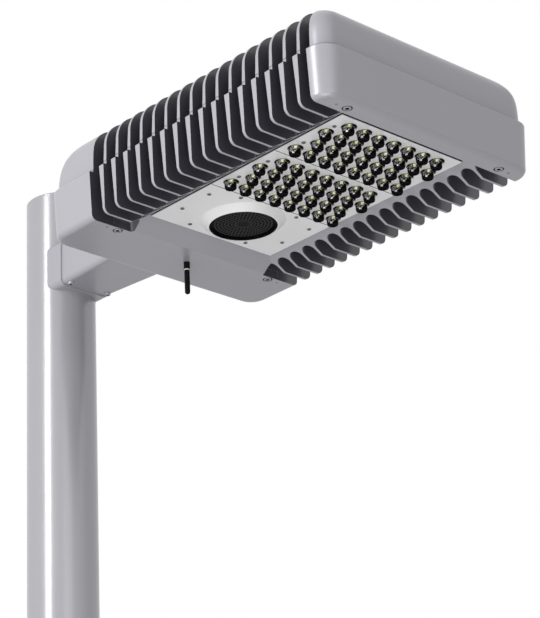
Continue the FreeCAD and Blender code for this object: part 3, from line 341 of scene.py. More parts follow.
@dataclass(frozen=True)
class SlottedCoat(Coat):
    """The castings' silver coat with painted shade in the slots between the fins.

    The slots lie between the planes of the two end caps. All places and depths are in metres.
    """

    # Painted shade in the slots under a clear coat; the seam's dark line takes the same colour.
    slot_shade_and_seam: Colour = (0.055, 0.053, 0.066)
    slot_shade_and_seam_gloss: float = 0.45
    # Lighter patches in the painted shade.
    shade_patch_lift: float = 1.5
    rear_plane: float = 0.310
    front_plane: float = 0.73672
    margin: float = 0.0002
    slot_end: float = 0.124
    roof: float = 0.595
    roof_depth: float = 0.003
    seam: float = 0.5420
    seam_depth: float = 0.0005
    seam_from: float = 0.176
    seat_depth: float = 0.0035
    seat_reach: float = 0.160
    ledge: float = 0.535
    # Heights of the painted shade above the ledge and of the painted highlight on its edge.
    crevice: tuple[float, float] = (0.0058, 0.0030)
    rim: tuple[float, float] = (0.0022, 0.0012)
    # Colour of the painted highlight on the ledge's edge.
    edge_highlight: Colour = (0.60, 0.595, 0.63)
    crevice_shade_colour: Colour = (0.16, 0.158, 0.17)

    def slots(self, shader: Shader) -> Number:
        """Find the faces that take painted shade in the slots, and the seam's marks.

        Args:
            shader: The shader to add nodes to.

        Returns:
            One for painted shade in the slots and for the seam's dark marks, nought elsewhere.
        """
        x, y, z = shader.parts("Object")
        nx, ny, nz = shader.parts("Normal")
        span = (y > self.rear_plane - self.margin) * (y < self.front_plane + self.margin)
        # Painted shade on the fins' broad faces, the slots' inner ends, the floor between the top
        # ribs and the rear cap's face at the first slot.
        broad = abs(ny).ease(0.75, 0.97)
        ends = (nx * x.math("SIGN")).ease(0.2, 0.45) * (abs(x) < self.slot_end)
        floor = nz.ease(0.6, 0.9) * (abs(z - self.roof) < self.roof_depth)
        # The seam's dark line where the upper and lower ribs meet.
        mark = (abs(z - self.seam) < self.seam_depth) * (abs(x) > self.seam_from)
        near = (abs(y - self.rear_plane) < self.seat_depth) * (abs(x) < self.seat_reach)
        inside = broad
        for part in (ends, floor, mark, near * (abs(nz) < 0.5)):
            inside = inside.math("MAXIMUM", part)
        return inside * span

    def ledge_shade_and_highlight(self, shader: Shader, colour: Any) -> Any:
        """Paint shade into the crevice above the end caps' ledge and a painted highlight on the
        ledge's edge.

        Args:
            shader: The shader to add nodes to.
            colour: The coat's own colour.

        Returns:
            The colour with both lines.
        """
        _, y, z = shader.parts("Object")
        caps = (y < self.rear_plane).math("MAXIMUM", y > self.front_plane)
        # Painted shade in the crevice above the ledge.
        high, low = (self.ledge + step for step in self.crevice)
        crevice = z.ease(high, low) * (z > self.ledge + self.margin) * caps
        # Painted highlight on the ledge's edge.
        foot, top = (self.ledge - step for step in self.rim)
        edge = z.ease(foot, top) * (z < self.ledge + self.margin) * caps
        crevice_shaded = shader.blend(crevice * 0.6, colour, self.crevice_shade_colour)
        return shader.blend(edge * 0.7, crevice_shaded, self.edge_highlight)

    def build(self) -> bpy.types.Material:
        """Make the material.

        Returns:
            The silver coat with its painted shade and painted highlight.
        """
        shader = Shader(self.name)
        colour, rough, peel = self.silver(shader)
        colour = self.ledge_shade_and_highlight(shader, colour)
        # Painted shade in the slots, in lighter patches, with a clear coat over it.
        dark = self.slots(shader)
        shade_patches = shader.noise(30.0, 3.0, 0.6)
        shade = shader.blend(shade_patches, self.slot_shade_and_seam, tuple(c * self.shade_patch_lift for c in self.slot_shade_and_seam))
        return shader.finish(Base_Color=shader.blend(dark, colour, shade), Roughness=rough,
                             Metallic=(1.0 - dark) * self.metallic,
                             Coat_Weight=dark * self.slot_shade_and_seam_gloss,
                             Coat_Roughness=0.22, Normal=shader.bump(peel, self.peel))


@dataclass(frozen=True)
class PlainMetal:
    """Bare or plated metal with fine turning or rolling marks."""

    name: str
    colour: Colour
    roughness: float
    streak: Point = (1.0, 1.0, 12.0)
    mark_scale: float = 900.0
    mark_depth: float = 0.00003
    stain_scale: float = 60.0
    dulling: float = 0.72

    def build(self) -> bpy.types.Material:
        """Make the material.

        Returns:
            The metal.
        """
        shader = Shader(self.name)
        marks = shader.noise(self.mark_scale, 3.0, 0.6, self.streak)
        stain = shader.noise(self.stain_scale, 3.0, 0.6)
        dull = tuple(c * self.dulling for c in self.colour)
        return shader.finish(Base_Color=shader.blend(marks * 0.5 + stain * 0.5, dull, self.colour),
                             Roughness=stain * 0.2 + self.roughness, Metallic=1.0,
                             Normal=shader.bump(marks, self.mark_depth))


@dataclass(frozen=True)
class Moulded:
    """Moulded plastic, rubber, laminate or resin with a fine spark texture."""

    name: str
    colour: Colour
    roughness: float
    grain: float = 1400.0
    depth: float = 0.00008
    glow: float = 0.0
    gloss: float = 0.5
    cloud_scale: float = 40.0
    dulling: float = 0.8

    def build(self) -> bpy.types.Material:
        """Make the material.

        Returns:
            The plastic.
        """
        shader = Shader(self.name)
        grain = shader.noise(self.grain, 2.0, 0.6)
        cloud = shader.noise(self.cloud_scale, 3.0, 0.6)
        dark = tuple(c * self.dulling for c in self.colour)
        colour = shader.blend(grain * 0.5 + cloud * 0.5, dark, self.colour)
        values: dict[str, Any] = {"Base_Color": colour, "Roughness": cloud * 0.1 + self.roughness,
                                  "Specular_IOR_Level": self.gloss,
                                  "Normal": shader.bump(grain, self.depth)}
        if self.glow:
            values.update(Emission_Color=colour, Emission_Strength=self.glow)
        return shader.finish(**values)


@dataclass(frozen=True)
class LensGloss:
    """Clear lens plastic over a dark well, as one facet looks, from black to the painted highlight,
    sheen and glow.
    """

    name: str
    deep: Colour
    lit: Colour
    glow: float
    gloss: float
    wave_scale: float = 620.0
    wave_depth: float = 0.0003

    def build(self) -> bpy.types.Material:
        """Make the material.

        Returns:
            The lens plastic.
        """
        shader = Shader(self.name)
        wave = shader.noise(self.wave_scale, 2.0, 0.6)
        colour = shader.blend(wave.ease(0.38, 0.66), self.deep, self.lit)
        values: dict[str, Any] = {"Base_Color": colour, "Roughness": wave * 0.05 + 0.06,
                                  "Specular_IOR_Level": self.gloss,
                                  "Normal": shader.bump(wave, self.wave_depth)}
        if self.glow:
            values.update(Emission_Color=colour, Emission_Strength=self.glow)
        return shader.finish(**values)


@dataclass(frozen=True)
class Perforated:
    """Black sheet with concentric rows of round perforations about a plain dark boss."""

    name: str
    centre: tuple[float, float]
    pitch: float
    reach: float
    colour: Colour = (0.046, 0.046, 0.047)
    rim: Colour = (0.003, 0.003, 0.0035)
    pit: Colour = (0.001, 0.001, 0.001)
    boss: tuple[float, float] = (0.0135, 0.006)
    first_row: tuple[float, float] = (0.0125, 0.013)
    soft_edge: float = 0.0004
    hole_edge: tuple[float, float] = (0.40, 0.28)
    grain: float = 1500.0
    depth: float = 0.0006
    in_row: int = 6

    def build(self) -> bpy.types.Material:
        """Make the material.

        Returns:
            The perforated sheet.
        """
        shader = Shader(self.name)
        x, y, _ = shader.parts("Object")
        x, y = x - self.centre[0], y - self.centre[1]
        radius = (x * x + y * y).math("SQRT")
        angle = y.math("ARCTAN2", x) / math.tau + 0.5
        row = (radius / self.pitch).math("ROUND")
        count = (row * float(self.in_row)).math("MAXIMUM", 1.0)
        along = ((angle * count).math("FRACT") - 0.5) * (math.tau / self.in_row)
        off = radius / self.pitch - row
        gap = (along * along + off * off).math("SQRT")
        inside = radius.ease(self.reach, self.reach - self.soft_edge)
        hole = gap.ease(*self.hole_edge) * inside * radius.ease(*self.first_row)
        fine = shader.noise(self.grain, 2.0, 0.6)
        centre = radius.ease(*self.boss) * 0.9
        sheet = shader.blend(centre, self.colour, tuple(c * 0.3 for c in self.colour))
        solid = shader.blend(inside, self.rim, sheet)
        return shader.finish(Base_Color=shader.blend(hole, solid, self.pit),
                             Roughness=hole * 0.4 + inside * 0.15 + 0.28,
                             Specular_IOR_Level=0.01,
                             Normal=shader.bump(hole * -1.0 + fine * 0.04, self.depth))


class Bench:
    """Modelling by hand in edit mode."""

    @staticmethod
    def clear() -> None:
        """Deselect every object."""
        if bpy.context.mode != "OBJECT":
            bpy.ops.object.mode_set(mode="OBJECT")
        bpy.ops.object.select_all(action="DESELECT")

    @staticmethod
    def take(piece: bpy.types.Object) -> None:
        """Select one object alone and make it active."""
        Bench.clear()
        piece.select_set(True)
        bpy.context.view_layer.objects.active = piece

    @staticmethod
    def turned(name: str, stations: list[tuple[float, float]], centre: Point,
               segments: int) -> bpy.types.Object:
        """Turn a closed round piece by extruding and scaling one disc from station to station.

        Args:
            name: The piece's name.
            stations: Pairs of radius and height from the first end to the last.
            centre: Where its axis meets height nought.
            segments: Sides of the circle.

        Returns:
            The closed piece, its object at the origin.
        """
        Bench.clear()
        radius, height = stations[0]
        bpy.ops.mesh.primitive_circle_add(vertices=segments, radius=radius, fill_type="NGON",
                                          location=(0.0, 0.0, 0.0))
        piece = bpy.context.object
        piece.name = piece.data.name = name
        bpy.ops.object.mode_set(mode="EDIT")
        bpy.ops.mesh.select_all(action="SELECT")
        bpy.ops.transform.translate(value=(0.0, 0.0, height))
        for wide, level in stations[1:]:
            bpy.ops.mesh.extrude_region_move(
                TRANSFORM_OT_translate={"value": (0.0, 0.0, level - height)})
            if abs(wide - radius) > 1e-9:
                share = wide / radius
                bpy.ops.transform.resize(value=(share, share, 1.0),
                                         center_override=(0.0, 0.0, level))
            radius, height = wide, level
        bpy.ops.mesh.select_all(action="SELECT")
        bpy.ops.mesh.normals_make_consistent(inside=False)
        bpy.ops.transform.translate(value=centre)
        bpy.ops.object.mode_set(mode="OBJECT")
        return piece

    @staticmethod
    def modify(piece: bpy.types.Object, kind: str, **settings: Any) -> None:
        """Add one modifier and apply it.

        Args:
            piece: The object.
            kind: The modifier's type.
            settings: Its properties.
        """
        Bench.take(piece)
        modifier = piece.modifiers.new(kind.title(), kind)
        for key, value in settings.items():
            setattr(modifier, key, value)
        bpy.ops.object.modifier_apply(modifier=modifier.name)

    @staticmethod
    def spread(piece: bpy.types.Object, count: int, step: Point) -> None:
        """Repeat a piece in a straight row.

        Args:
            piece: The object.
            count: How many in all.
            step: From one to the next.
        """
        Bench.modify(piece, "ARRAY", count=count, use_relative_offset=False,
                     use_constant_offset=True, constant_offset_displace=step)

    @staticmethod
    def join(pieces: list[bpy.types.Object], name: str) -> bpy.types.Object:
        """Join pieces into one.

        Args:
            pieces: The objects, of which the first keeps its materials first.
            name: The joined piece's name.

        Returns:
            The joined piece.
        """
        Bench.clear()
        for piece in pieces:
            piece.select_set(True)
        bpy.context.view_layer.objects.active = pieces[0]
        bpy.ops.object.join()
        joined = bpy.context.object
        joined.name = joined.data.name = name
        return joined

    @staticmethod
    def copy_to(piece: bpy.types.Object, move: Point) -> bpy.types.Object:
        """Copy a piece with its own mesh and move the mesh.

        Args:
            piece: The object.
            move: How far the copy lies from it.

        Returns:
            The copy.
        """
        twin = piece.copy()
        twin.data = piece.data.copy()
        bpy.context.scene.collection.objects.link(twin)
        twin.data.transform(Matrix.Translation(Vector(move)))
        return twin

    @staticmethod
    def smooth(piece: bpy.types.Object, angle: float) -> None:
        """Shade smooth up to an angle in degrees."""
        Bench.take(piece)
        bpy.ops.object.shade_smooth_by_angle(angle=math.radians(angle))


class Drive(Enum):
    """The recess in a screw's head."""

    CROSS = "cross"
    SLOT = "slot"
    HEX = "hex"


@dataclass
class ScrewSet:
    """The visible screws of one CAD node, each with a domed head and its recess.

    The profiles give a head's radius and height as shares of its own.
    """

    node: str
    head_radius: float
    head_height: float
    drive: Drive
    groove: bool = False
    crown: Profile = ((0.45, 1.0), (1.0, 1.0))
    grooved_side: Profile = ((1.0, 0.45), (0.8, 0.45), (0.78, 0.15), (0.68, 0.0))
    domed_side: Profile = ((1.0, 0.35), (0.93, 0.14), (0.78, 0.0))
    mouth: Profile = ((0.44, 0.0), (0.38, 0.55))
    squeezed: float = 0.43
    slot_width: float = 0.2
    groove_from: float = 0.795
    sides: int = 24

    def centres(self) -> list[Point]:
        """Find the middle of each head's lower face from the CAD node.

        Returns:
            One point a screw.
        """
        mesh = bmesh.new()
        mesh.from_mesh(bpy.data.objects[self.node].data)
        bmesh.ops.remove_doubles(mesh, verts=mesh.verts, dist=1e-6)
        spots: list[Point] = []
        waiting = set(mesh.verts)
        while waiting:
            group, edge = set(), {waiting.pop()}
            while edge:
                vert = edge.pop()
                group.add(vert)
                edge |= {e.other_vert(vert) for e in vert.link_edges} - group
            waiting -= group
            low = min(v.co.z for v in group)
            xs = [v.co.x for v in group]
            ys = [v.co.y for v in group]
            spots.append(((min(xs) + max(xs)) / 2, (min(ys) + max(ys)) / 2, low))
        mesh.free()
        return sorted(spots)

    def build(self, finish: bpy.types.Material, dark: bpy.types.Material) -> bpy.types.Object:
        """Model one head, cut its recess, and copy it to each place.

        Args:
            finish: The metal.
            dark: The painted shade for the recess's floor and the groove round the head.

        Returns:
            The joined screws.
        """
        r, h = self.head_radius, self.head_height
        side = self.grooved_side if self.groove else self.domed_side
        stations = [(r * wide, h * level) for wide, level in self.crown + side + self.mouth]
        head = Bench.turned(f"{self.node}_heads", stations, (0.0, 0.0, 0.0), self.sides)
        if self.drive is not Drive.HEX:
            self.cut_recess(head)
        head.data.materials.append(finish)
        head.data.materials.append(dark)
        for face in head.data.polygons:
            out = math.hypot(face.center.x, face.center.y)
            # Painted shade on the recess's floor and in the groove round a captive head.
            deep = face.center.z > h * 0.1 and out < r * self.mouth[0][0] and face.center.z < h
            ring = self.groove and out > r * self.groove_from and face.center.z < h * 0.99
            face.material_index = 1 if deep or ring else 0
        heads = [Bench.copy_to(head, spot) for spot in self.centres()]
        bpy.data.objects.remove(head)
        screws = Bench.join(heads, f"{self.node}_heads")
        Bench.smooth(screws, 40.0)
        return screws

    def cut_recess(self, head: bpy.types.Object) -> None:
        """Squeeze the floor of the head's round recess into a slot or a cross."""
        arms = 4 if self.drive is Drive.CROSS else 2
        for vert in head.data.vertices:
            if math.hypot(vert.co.x, vert.co.y) < self.head_radius * self.squeezed:
                angle = math.atan2(vert.co.y, vert.co.x)
                ridge = abs(math.cos(angle * arms / 2)) ** 3
                keep = ridge * (1.0 - self.slot_width) + self.slot_width
                vert.co.x *= keep
                vert.co.y *= keep


class Facet(Enum):
    """What a facet of a lens cup shows: the black cup itself, painted sheen, a painted highlight,
    or painted glow of the emitter.
    """

    DEEP = LensGloss("lens_deep", (0.002, 0.002, 0.003), (0.007, 0.006, 0.008), 0.0, 0.015)
    # Painted sheen on the cup's side.
    GREY_SHEEN = LensGloss("lens_painted_sheen", (0.01, 0.009, 0.012), (0.52, 0.48, 0.55), 0.0, 0.3)
    # Painted glow where the emitter shows through the lens.
    OLIVE_GLOW = LensGloss("lens_painted_glow_olive", (0.03, 0.03, 0.014), (0.42, 0.43, 0.24), 0.05, 0.3)
    CREAM_GLOW = LensGloss("lens_painted_glow_cream", (0.52, 0.52, 0.34), (0.96, 0.95, 0.82), 0.3, 0.4)
    # Painted highlight at the cup's near rim, glowing a little.
    WHITE = LensGloss("lens_painted_highlight", (0.22, 0.21, 0.20), (0.95, 0.91, 0.88), 0.2, 0.5)


@dataclass
class LensCups:
    """The moulded lens cups of one lighting module.

    The cup's stations are radii and heights in millimetres. A patch of painted highlight, sheen or
    glow is a turn and its reach in degrees, and the heights it lies between in millimetres.
    """

    node: str
    plate: str
    pitch: float = 26.5 * MM
    row_pitch: float = 28.2 * MM
    rows: tuple[tuple[float, int], ...] = ((-1.5, 8), (0.5, 8), (-0.5, 7), (1.5, 7))
    sides: int = 30
    # Where the painted highlight, sheen and glow are centred round the cup, in degrees.
    painted_glint_side: float = 46.7
    recess_radius: float = 6.2 * MM
    flange_foot: float = -1.2 * MM
    flange_shift: Point = (-0.75 * MM, 0.7 * MM, 0.0)
    cup: Profile = (
        (8.6, 0.1), (10.2, 0.0), (10.5, -0.4), (10.3, -1.1), (8.6, -1.6), (8.2, -2.8), (8.1, -4.1),
        (8.1, -5.4), (8.0, -6.7), (7.9, -8.0), (7.7, -9.3), (7.2, -10.2), (6.4, -10.6),
        (5.8, -10.2), (4.8, -9.0), (1.5, -8.4))
    # Patches of painted highlight, sheen and glow, three times round each cup.
    lit: dict[Facet, list[tuple[float, float, float, float]]] = field(default_factory=lambda: {
        Facet.CREAM_GLOW: [(12.0, 13.0, -3.7, -1.2)],
        Facet.WHITE: [(-14.0, 14.0, -9.9, -7.4), (0.0, 9.0, -8.0, -6.2)],
        Facet.OLIVE_GLOW: [(-6.0, 26.0, -1.2, 0.2), (2.0, 30.0, -4.9, -1.1), (14.0, 9.0, -6.2, -4.8)],
        Facet.GREY_SHEEN: [(-34.0, 18.0, -8.2, -1.4), (42.0, 8.0, -3.2, -1.4)]})

    def facet(self, face: bpy.types.MeshPolygon) -> int:
        """Choose what one facet shows, black or a painted highlight, sheen or glow, three times
        alike round the cup.

        Args:
            face: A face of the cup, which stands about the origin.

        Returns:
            The facet's place among the cup's materials.
        """
        if math.hypot(face.center.x, face.center.y) < self.recess_radius:
            return 0
        turn = math.degrees(math.atan2(face.center.y, face.center.x)) - self.painted_glint_side
        turn = (turn + 60.0) % 120.0 - 60.0
        height = face.center.z / MM
        for kind, patches in self.lit.items():
            for centre, reach, low, high in patches:
                if abs(turn - centre) < reach and low < height < high:
                    return list(Facet).index(kind)
        return 0

    def build(self, finishes: list[bpy.types.Material]) -> bpy.types.Object:
        """Model one cup, then fill the rows.

        Args:
            finishes: A material for each kind of facet.

        Returns:
            The joined lenses.
        """
        low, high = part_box(self.plate)
        middle, base = (low.y + high.y) / 2, low.z
        stations = [(r * MM, z * MM) for r, z in self.cup]
        cup = Bench.turned(f"{self.node}_cup", stations, (0.0, 0.0, 0.0), self.sides)
        for finish in finishes:
            cup.data.materials.append(finish)
        for face in cup.data.polygons:
            face.material_index = self.facet(face)
        for vert in cup.data.vertices:
            if vert.co.z > self.flange_foot:
                vert.co += Vector(self.flange_shift)
        rows: list[bpy.types.Object] = []
        for place, count in self.rows:
            start = (-self.pitch * (count - 1) / 2, middle + place * self.row_pitch, base)
            row = Bench.copy_to(cup, start)
            Bench.spread(row, count, (self.pitch, 0.0, 0.0))
            rows.append(row)
        bpy.data.objects.remove(cup)
        lenses = Bench.join(rows, f"{self.node}_cups")
        Bench.smooth(lenses, 40.0)
        return lenses


@dataclass
class Grille:
    """The loudspeaker's black perforated disc with its rolled rim.

    A rim's stations are insets and rises, and the boss's radii and rises, in millimetres. Those of
    the rings between them have a share of the disc's radius.
    """

    node: str = "speaker_grille"
    pitch: float = 4.6 * MM
    bare: float = 6.2 * MM
    rim_width: float = 4.4 * MM
    sheet_rise: float = 3.0 * MM
    upper_rim: Profile = ((1.0, 0.0), (0.0, -0.6))
    lower_rim: Profile = ((0.0, 1.0), (0.4, 0.3), (1.1, 0.0), (2.4, 0.2), (3.2, 1.2))
    rings: Profile = ((0.62, -0.25), (0.6, -0.05), (0.3, -0.3), (0.28, -0.1))
    boss: Profile = ((6.0, -0.1), (5.2, -0.9), (3.6, -1.2))

    def build(self) -> bpy.types.Object:
        """Turn the disc inside the CAD node's own size.

        Returns:
            The dressed disc.
        """
        low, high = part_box(self.node)
        radius = (high.x - low.x) / 2
        centre = ((low.x + high.x) / 2, (low.y + high.y) / 2, 0.0)
        sheet = high.z + self.sheet_rise
        stations = [(radius - inset * MM, level + rise * MM)
                    for level, rim in ((high.z, self.upper_rim), (low.z, self.lower_rim))
                    for inset, rise in rim]
        stations.append((radius - self.rim_width, sheet))
        stations += [(radius * share, sheet + rise * MM) for share, rise in self.rings]
        stations += [(wide * MM, sheet + rise * MM) for wide, rise in self.boss]
        disc = Bench.turned("speaker_grille_disc", stations, centre, 72)
        finish = Perforated("grille_sheet", centre[:2], self.pitch, radius - self.bare)
        disc.data.materials.append(finish.build())
        Bench.smooth(disc, 30.0)
        return disc


@dataclass
class JointBeads:
    """The thin black beads pressed into the joints between the three plates."""

    plates: tuple[str, ...] = ("speaker_plate", "led_plate_rear", "led_plate_front")
    width: float = 1.1 * MM
    proud: float = 0.25 * MM
    sunk: float = 0.05 * MM
    shorter: float = 1.0 * MM
    taper: float = 0.6

    def build(self, finish: bpy.types.Material) -> bpy.types.Object:
        """Model one bead over each joint.

        Args:
            finish: The rubber.

        Returns:
            The joined beads.
        """
        beads: list[bpy.types.Object] = []
        for before, after in zip(self.plates, self.plates[1:]):
            low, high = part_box(before)
            near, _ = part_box(after)
            middle = (high.y + near.y) / 2
            Bench.clear()
            bpy.ops.mesh.primitive_plane_add(size=1.0, location=(0.0, 0.0, 0.0))
            bead = bpy.context.object
            bead.name = bead.data.name = f"bead_{before}"
            bpy.ops.object.mode_set(mode="EDIT")
            bpy.ops.mesh.select_all(action="SELECT")
            bpy.ops.transform.resize(value=(high.x - low.x - self.shorter, self.width, 1.0))
            bpy.ops.transform.translate(value=(0.0, middle, low.z + self.sunk))
            bpy.ops.mesh.extrude_region_move(
                TRANSFORM_OT_translate={"value": (0.0, 0.0, -self.proud - self.sunk)})
            bpy.ops.transform.resize(value=(1.0, self.taper, 1.0),
                                     center_override=(0.0, middle, low.z - self.proud))
            bpy.ops.mesh.select_all(action="SELECT")
            bpy.ops.mesh.normals_make_consistent(inside=False)
            bpy.ops.object.mode_set(mode="OBJECT")
            bead.data.materials.append(finish)
            beads.append(bead)
        return Bench.join(beads, "plate_joint_beads")


@dataclass(frozen=True)
class Lamp:
    """One soft rectangular lamp, in metres and watts."""

    name: str
    place: Point
    size: tuple[float, float]
    power: float
    target: Point = (0.0, 0.4, 0.5)

    def hang(self) -> None:
        """Make the lamp, turned to its target."""
        data = bpy.data.lights.new(self.name, "AREA")
        data.shape = "RECTANGLE"
        data.size, data.size_y = self.size
        data.energy = self.power
        lamp = bpy.data.objects.new(self.name, data)
        bpy.context.scene.collection.objects.link(lamp)
        aim = Vector(self.target) - Vector(self.place)
        turn = aim.to_track_quat("-Z", "Y").to_matrix().to_4x4()
        lamp.matrix_world = Matrix.Translation(Vector(self.place)) @ turn
        lamp.visible_camera = False


@dataclass
class Studio:
    """Floor, lamps, world and camera."""

    lamps: tuple[Lamp, ...] = (
        Lamp("strip_left", (2.9, 0.25, 0.8), (0.78, 2.3), 69.0, (0.0, 0.2, 0.35)),
        Lamp("front", (1.4, 3.4, 0.6), (1.8, 1.8), 9.0),
        Lamp("under", (1.1, 1.4, -1.05), (1.4, 1.4), 13.5),
        Lamp("top", (0.2, 0.2, 3.0), (2.0, 2.0), 2.0))
    floor_height: float = -2.6
    floor_size: float = 60.0
    floor_white: float = 0.6
    floor_greys: tuple[Colour, Colour] = ((0.78, 0.78, 0.78), (0.82, 0.82, 0.82))
    world_level: float = 0.36
    white: Colour = (1.0, 1.0, 1.0)
    eye: Point = (1.952426, 2.520296, -0.863383)
    right: Point = (-0.73870921, 0.6727737, -0.04103957)
    down: Point = (-0.23334106, -0.31238228, -0.92085247)
    forward: Point = (-0.63234535, -0.67066599, 0.38774539)
    focal_pixels: float = 2331.498
    frame_height: int = 618
    sensor: float = 36.0

    def camera(self) -> None:
        """Stand the camera where the photograph was taken from."""
        data = bpy.data.cameras.new("camera")
        data.sensor_width = self.sensor
        data.lens = self.focal_pixels / self.frame_height * self.sensor
        data.clip_end = 100.0
        camera = bpy.data.objects.new("camera", data)
        bpy.context.scene.collection.objects.link(camera)
        columns = (Vector(self.right), -Vector(self.down), -Vector(self.forward))
        turn = Matrix(columns).transposed().to_4x4()
        camera.matrix_world = Matrix.Translation(Vector(self.eye)) @ turn
        bpy.context.scene.camera = camera

    def world(self) -> None:
        """Light evenly from all round, and show white where the camera looks past the object."""
        shader = Shader("studio", bpy.data.worlds)
        bpy.context.scene.world = shader.owner
        level = self.world_level
        plain = shader.node("ShaderNodeBackground", None, {0: (level, level, level * 1.02)})
        white = shader.node("ShaderNodeBackground", None, {0: self.white})
        mix = shader.node("ShaderNodeMixShader", None,
                          {0: shader.seen(), 1: plain.outputs[0], 2: white.outputs[0]})
        shader.node("ShaderNodeOutputWorld", None, {0: mix.outputs[0]})

    def floor(self) -> None:
        """Lay a plain pale floor well below the object."""
        Bench.clear()
        bpy.ops.mesh.primitive_grid_add(x_subdivisions=8, y_subdivisions=8, size=self.floor_size,
                                        location=(0.0, 0.0, self.floor_height))
        floor = bpy.context.object
        floor.name = "floor"
        shader = Shader("floor_paint")
        paint = shader.blend(shader.noise(3.0, 3.0, 0.5), *self.floor_greys)
        plain = shader.node("ShaderNodeBsdfDiffuse", None, {0: paint})
        pale = shader.node("ShaderNodeEmission", None, {0: self.white})
        mix = shader.node("ShaderNodeMixShader", None,
                          {0: shader.seen() * self.floor_white, 1: plain.outputs[0],
                           2: pale.outputs[0]})
        shader.node("ShaderNodeOutputMaterial", None, {0: mix.outputs[0]})
        floor.data.materials.append(shader.owner)

    def build(self) -> None:
        """Set up the whole studio."""
        self.camera()
        self.world()
        self.floor()
        for lamp in self.lamps:
            lamp.hang()
        bpy.context.scene.view_settings.view_transform = "Standard"


class Finishes(Enum):
    """The finish of each material slot."""

    POLE = Coat("pole_coat", (0.385, 0.385, 0.41), 0.24, 0.2, 0.03, 0.00002)
    CASTING = Coat("casting_coat", (0.40, 0.395, 0.43), 0.31, 0.15)
    SLOTTED = SlottedCoat("slotted_coat_painted_shade", (0.40, 0.395, 0.43), 0.31, 0.15)
    PLATE = Coat("plate_coat_skin", (0.93, 0.925, 0.93), 0.36, 0.10, 0.02)
    ZINC = PlainMetal("zinc_plate", (0.62, 0.62, 0.63), 0.28)
    DULL_ZINC = PlainMetal("zinc_dull", (0.26, 0.26, 0.26), 0.45)
    BRASS = PlainMetal("brass_bare", (0.62, 0.5, 0.26), 0.3)
    MAGNET = PlainMetal("magnet_sinter", (0.14, 0.14, 0.15), 0.5)
    CASE = PlainMetal("case_aluminium", (0.66, 0.66, 0.67), 0.35)
    RUBBER = Moulded("rubber_black", (0.02, 0.02, 0.02), 0.65, gloss=0.2)
    BOARD = Moulded("board_resist", (0.70, 0.72, 0.70), 0.45)
    # The emitter resin's glow is painted glow.
    RESIN = Moulded("emitter_resin_painted_glow", (0.80, 0.80, 0.30), 0.25, glow=0.35)
    RECESS = Moulded("recess_shadow", (0.015, 0.015, 0.015), 0.6, gloss=0.1)
    BLACK = Coat("black_coat", (0.02, 0.02, 0.022), 0.4, 0.0)
    CONE = Moulded("cone_fibre", (0.04, 0.04, 0.045), 0.7, 700.0)
    DARK = Moulded("antenna_skin", (0.006, 0.006, 0.007), 0.35, gloss=0.08)
    PALE = Moulded("pale_collar", (0.72, 0.70, 0.60), 0.4)
    UNIT = Moulded("unit_case", (0.10, 0.10, 0.11), 0.5)


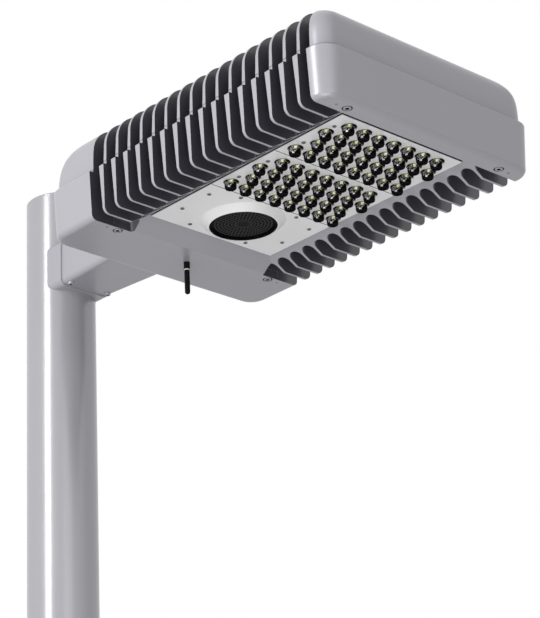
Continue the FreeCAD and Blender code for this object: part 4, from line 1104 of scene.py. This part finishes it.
@dataclass
class AreaLight:
    """The whole fitting: carried-over solids with their finishes and the modelled details."""

    made: dict[str, bpy.types.Material] = field(default_factory=dict)
    castings: tuple[str, ...] = (
        "lower_heat_sink", "upper_housing", "rear_end_cap", "front_end_cap")
    slots: dict[str, Finishes] = field(default_factory=lambda: {
        "pole_paint": Finishes.POLE, "housing_coat": Finishes.CASTING, "plate_coat": Finishes.PLATE,
        "zinc_steel": Finishes.ZINC, "black_rubber": Finishes.RUBBER,
        "board_laminate": Finishes.BOARD, "emitter": Finishes.RESIN, "lens_plastic": Finishes.BLACK,
        "grille_black": Finishes.BLACK, "cone_plastic": Finishes.CONE,
        "magnet_grey": Finishes.MAGNET, "antenna_black": Finishes.DARK,
        "pale_plastic": Finishes.PALE, "brass_plain": Finishes.BRASS, "unit_metal": Finishes.CASE,
        "unit_plastic": Finishes.UNIT})

    def finish(self, choice: Finishes) -> bpy.types.Material:
        """Give a finish's material, made once."""
        if choice.name not in self.made:
            self.made[choice.name] = choice.value.build()
        return self.made[choice.name]

    def dress_solids(self, frame: dict[str, Any]) -> None:
        """Give each CAD node the finish of its material slot.
        """
        for entry in frame["record"]["subparts"]:
            node = frame["nodes"][entry["node"]]
            choice = self.slots[entry["material_slot"]]
            if entry["node"] in self.castings:
                choice = Finishes.SLOTTED
            node.data.materials.clear()
            node.data.materials.append(self.finish(choice))
            LOG.info("dressed %s with %s", entry["node"], choice.name)

    def attach(self, piece: bpy.types.Object, slot: str, *nodes: str) -> None:
        """Let a piece stand for CAD nodes on the one rigid body.

        Args:
            piece: The modelled piece.
            slot: The material slot, which is not used.
            nodes: The CAD nodes it stands for.
        """
        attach(piece, "root")
        if nodes:
            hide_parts(*nodes)
        LOG.info("modelled %s with %d faces", piece.name, len(piece.data.polygons))

    def lighting(self) -> None:
        """Model the lens cups of both modules."""
        finishes = [kind.value.build() for kind in Facet]
        for end in ("rear", "front"):
            cups = LensCups(f"lenses_{end}", f"led_plate_{end}")
            self.attach(cups.build(finishes), "lens_plastic", f"lenses_{end}")

    def loudspeaker(self) -> None:
        """Model the grille."""
        self.attach(Grille().build(), "grille_black", "speaker_grille")

    def joints(self) -> None:
        """Model the beads between the plates."""
        self.attach(JointBeads().build(self.finish(Finishes.RUBBER)), "black_rubber")

    def screws(self) -> None:
        """Model every visible screw head."""
        small, captive = (2.9 * MM, 1.2 * MM, Drive.CROSS), (6.5 * MM, 2.2 * MM, Drive.SLOT, True)
        sets = [(ScrewSet("led_plate_screws", *small), Finishes.DULL_ZINC),
                (ScrewSet("speaker_plate_screws", *small), Finishes.DULL_ZINC),
                (ScrewSet("rear_cap_screws", *captive), Finishes.CASTING),
                (ScrewSet("front_cap_screws", *captive), Finishes.CASTING),
                (ScrewSet("arm_lock_screws", 4.5 * MM, 3.0 * MM, Drive.HEX), Finishes.CASTING)]
        for screws, metal in sets:
            piece = screws.build(self.finish(metal), self.finish(Finishes.RECESS))
            self.attach(piece, "zinc_steel", screws.node)

    def build(self, frame: dict[str, Any]) -> None:
        """Dress and model everything.
        """
        self.dress_solids(frame)
        self.lighting()
        self.loudspeaker()
        self.joints()
        self.screws()


def main() -> None:
    """Load the frame, build the studio and the light, and note the sizes."""
    logging.basicConfig(level=logging.INFO, format="%(name)s: %(message)s")
    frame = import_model()
    Studio().build()
    AreaLight().build(frame)


if __name__ == "__main__":
    main()
